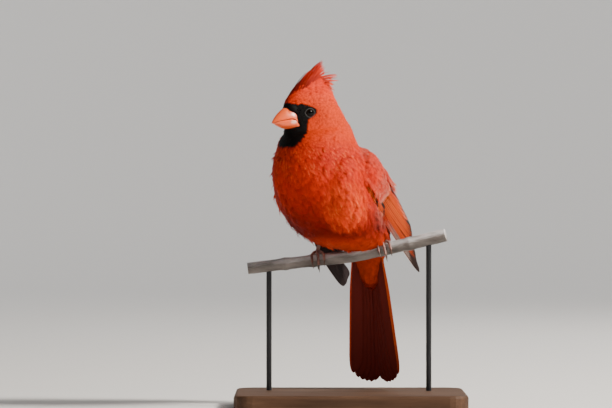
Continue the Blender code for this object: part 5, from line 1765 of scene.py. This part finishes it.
def horn_material():
    """The bill: coral orange horn with fine growth streaks, and a painted highlight at the gape."""
    material, tree, shader = new_material("bill_horn_finish")
    streak = noise_value(tree, 420, 4)
    broad = noise_value(tree, 110, 2)
    coral = mix(tree, broad, CORAL, PALE_CORAL)
    colour = mix(tree, times(tree, streak, 0.4), coral, HORN_STREAK)
    colour = mix(tree, attribute(tree, "gape"), colour, GAPE_HIGHLIGHT)
    rough = plus(tree, times(tree, streak, 0.22), 0.22)
    finish(tree, shader, Base_Color=colour, Roughness=rough, Subsurface_Weight=0.12,
           Subsurface_Radius=(0.002, 0.0008, 0.0004))
    bump(tree, shader, streak, 0.12, 0.0002)
    return material


def eye_material():
    """A dark brown iris round a black pupil under a wet surface."""
    material, tree, shader = new_material("eye_finish")
    iris = ramp(tree, math_node(tree, "DIVIDE", attribute(tree, "tilt"), IRIS_TILT), IRIS_TONES)
    finish(tree, shader, Base_Color=iris, Roughness=0.05, Specular_IOR_Level=0.13)
    return material


def scale_material(name, dark, light, roughness, grain_scale=800, strength=0.3):
    """Skin, lids, claws: two tones in a fine grain."""
    material, tree, shader = new_material(name)
    grain = noise_value(tree, grain_scale, 4)
    broad = noise_value(tree, grain_scale / 7, 2)
    both = times(tree, plus(tree, grain, broad), 0.5)
    spread_out = ramp(tree, both, [(0.35, BLACK), (0.65, WHITE)])
    rough = plus(tree, times(tree, grain, 0.2), roughness)
    finish(tree, shader, Base_Color=mix(tree, spread_out, dark, light), Roughness=rough)
    bump(tree, shader, grain, strength, 0.0002)
    return material


def bark_material():
    """Smooth grey bark with pale lenticels and dark flecks, and painted shade on its sides and underside."""
    material, tree, shader = new_material("grey_bark")
    stretch = stretched(tree, (0.35, 1.0, 1.0))
    broad = noise_value(tree, 120, 4, stretch)
    fine = noise_value(tree, 900, 5, stretch)
    lenticel = add(tree, "ShaderNodeTexVoronoi", Scale=260.0)
    link(tree, stretch, lenticel.inputs["Vector"])
    spots = ramp(tree, lenticel.outputs["Distance"], [(0.10, WHITE), (0.2, BLACK)])
    base = ramp(tree, broad, BARK_TONES)
    base = mix(tree, times(tree, fine, 0.38), base, BARK_FLECK)
    base = mix(tree, times(tree, spots, 0.55), base, LENTICEL)
    # Painted shade: darker where the bark faces sideways or down, untouched where it faces up.
    upward = add(tree, "ShaderNodeSeparateXYZ")
    link(tree, add(tree, "ShaderNodeNewGeometry").outputs["Normal"], upward.inputs[0])
    painted_shade_below = ramp(tree, upward.outputs["Z"], [(0.0, BARK_SHADE_BELOW), (0.6, WHITE)])
    base = mix(tree, 1.0, base, painted_shade_below, "MULTIPLY")
    finish(tree, shader, Base_Color=base, Roughness=0.72)
    height = plus(tree, times(tree, fine, 0.6), times(tree, spots, 0.6))
    bump(tree, shader, height, 0.5, 0.0004)
    return material


def wood_material():
    """The base: dark oiled walnut with long grain."""
    material, tree, shader = new_material("walnut_base")
    stretch = stretched(tree, (0.06, 1.0, 0.6))
    rings = noise_value(tree, 160, 4, stretch)
    pores = noise_value(tree, 1100, 4, stretch)
    base = ramp(tree, rings, WOOD_TONES)
    base = mix(tree, times(tree, pores, 0.55), base, WOOD_PORE)
    rough = plus(tree, times(tree, pores, 0.25), 0.5)
    finish(tree, shader, Base_Color=base, Roughness=rough, Specular_IOR_Level=0.2)
    bump(tree, shader, pores, 0.15, 0.0002)
    return material


def rod_material():
    """Satin black steel with a faint drawn grain."""
    material, tree, shader = new_material("black_steel")
    stretch = stretched(tree, (1.0, 1.0, 0.06))
    grain = noise_value(tree, 1500, 3, stretch)
    rough = plus(tree, times(tree, grain, 0.2), 0.28)
    finish(tree, shader, Base_Color=mix(tree, grain, STEEL_DARK, STEEL_LIGHT), Roughness=rough, Metallic=0.8)
    bump(tree, shader, grain, 0.1, 0.0001)
    return material


def dress(obj, material):
    obj.data.materials.clear()
    obj.data.materials.append(material)
    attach(obj, "root")


def make_floor():
    """A pale floor that curves up into a backdrop all round."""
    angle = circle(FLOOR_SIDES)
    circles = [(r, -0.05) for r in FLOOR_RADII]
    for bend in np.linspace(0.1, 1, 12) * math.pi / 2:
        circles.append((FLOOR_RADII[-1] + WALL_BEND * math.sin(bend), WALL_BEND * (1 - math.cos(bend))))
    rings = [np.column_stack([r * np.cos(angle), r * np.sin(angle), np.full(FLOOR_SIDES, z)])
             for r, z in circles]
    faces = grid_faces(len(rings), FLOOR_SIDES, caps=False) + [tuple(range(FLOOR_SIDES))]
    floor = build_mesh("floor", np.concatenate(rings), faces)
    material, tree, shader = new_material("pale_floor")
    finish(tree, shader, Base_Color=FLOOR_COLOUR, Roughness=0.9)
    floor.data.materials.append(material)


def make_lights():
    world = bpy.data.worlds.new("studio")
    bpy.context.scene.world = world
    world.use_nodes = True
    background = world.node_tree.nodes["Background"]
    background.inputs[0].default_value = WORLD_COLOUR
    background.inputs[1].default_value = WORLD_STRENGTH
    for place, power, size, colour, aim in LIGHTS:
        light = bpy.data.lights.new("softbox", "AREA")
        light.shape = "DISK"
        light.energy, light.size, light.color = power, size, colour
        lamp = bpy.data.objects.new("softbox", light)
        lamp.location = place
        lamp.rotation_euler = (Vector(aim) - Vector(place)).to_track_quat("-Z", "Y").to_euler()
        bpy.context.scene.collection.objects.link(lamp)


def make_camera():
    camera = bpy.data.cameras.new("camera")
    camera.lens = CAMERA_LENS
    camera.sensor_width = 36
    camera.sensor_fit = "HORIZONTAL"
    camera.clip_start, camera.clip_end = 0.05, 50
    seat = bpy.data.objects.new("camera", camera)
    seat.location = Vector(CAMERA_PLACE) * MM
    seat.rotation_euler = (math.pi / 2, 0, 0)
    bpy.context.scene.collection.objects.link(seat)
    bpy.context.scene.camera = seat


def main():
    make_floor()
    make_lights()
    make_camera()
    skin = make_skin()
    unwrap(skin)
    for key, values in coat_marks(mesh_points(skin)).items():
        set_attribute(skin, key, values)
    surface = Surface(skin)
    dress(skin, skin_material())
    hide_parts("torso", "neck", "head")

    plumage = coat_material()
    for piece in [*make_coat(surface), make_soft_coverts(surface)]:
        dress(piece, plumage)
    crest = make_crest(surface)
    dress(crest, plumage)
    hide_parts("crest")

    dusky = flight_material("wing_finish", DUSKY, WING_UNDER_SHADED, 0.1)
    for side in WINGS:
        wing = wing_feathers(side, surface)
        dress(wing, dusky)
        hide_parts(f"wing_{side}")
    tail = tail_feathers(surface)
    tail_look = flight_material("tail_finish", TAIL_INNER, TAIL_UNDER, 0.75)
    dress(tail, tail_look)
    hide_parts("tail")

    horn = horn_material()
    for piece in make_bill():
        dress(piece, horn)
    eye, lid = eye_material(), scale_material("lid_skin", LID_DARK, LID_LIGHT, 0.6)
    for piece in make_eyes():
        dress(piece, eye if piece.name.startswith("eyeball") else lid)
    scales = scale_material("leg_scales", LEG_DARK, LEG_LIGHT, 0.38)
    claw = scale_material("claw_horn", CLAW_DARK, CLAW_LIGHT, 0.22, 500, 0.15)
    for piece in make_feet():
        dress(piece, claw if piece.name.startswith("claws") else scales)
    dress(make_perch(), bark_material())

    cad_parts["stand_base"].data.materials[0] = wood_material()
    rod = rod_material()
    for side in ("left", "right"):
        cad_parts[f"stand_rod_{side}"].data.materials[0] = rod


main()
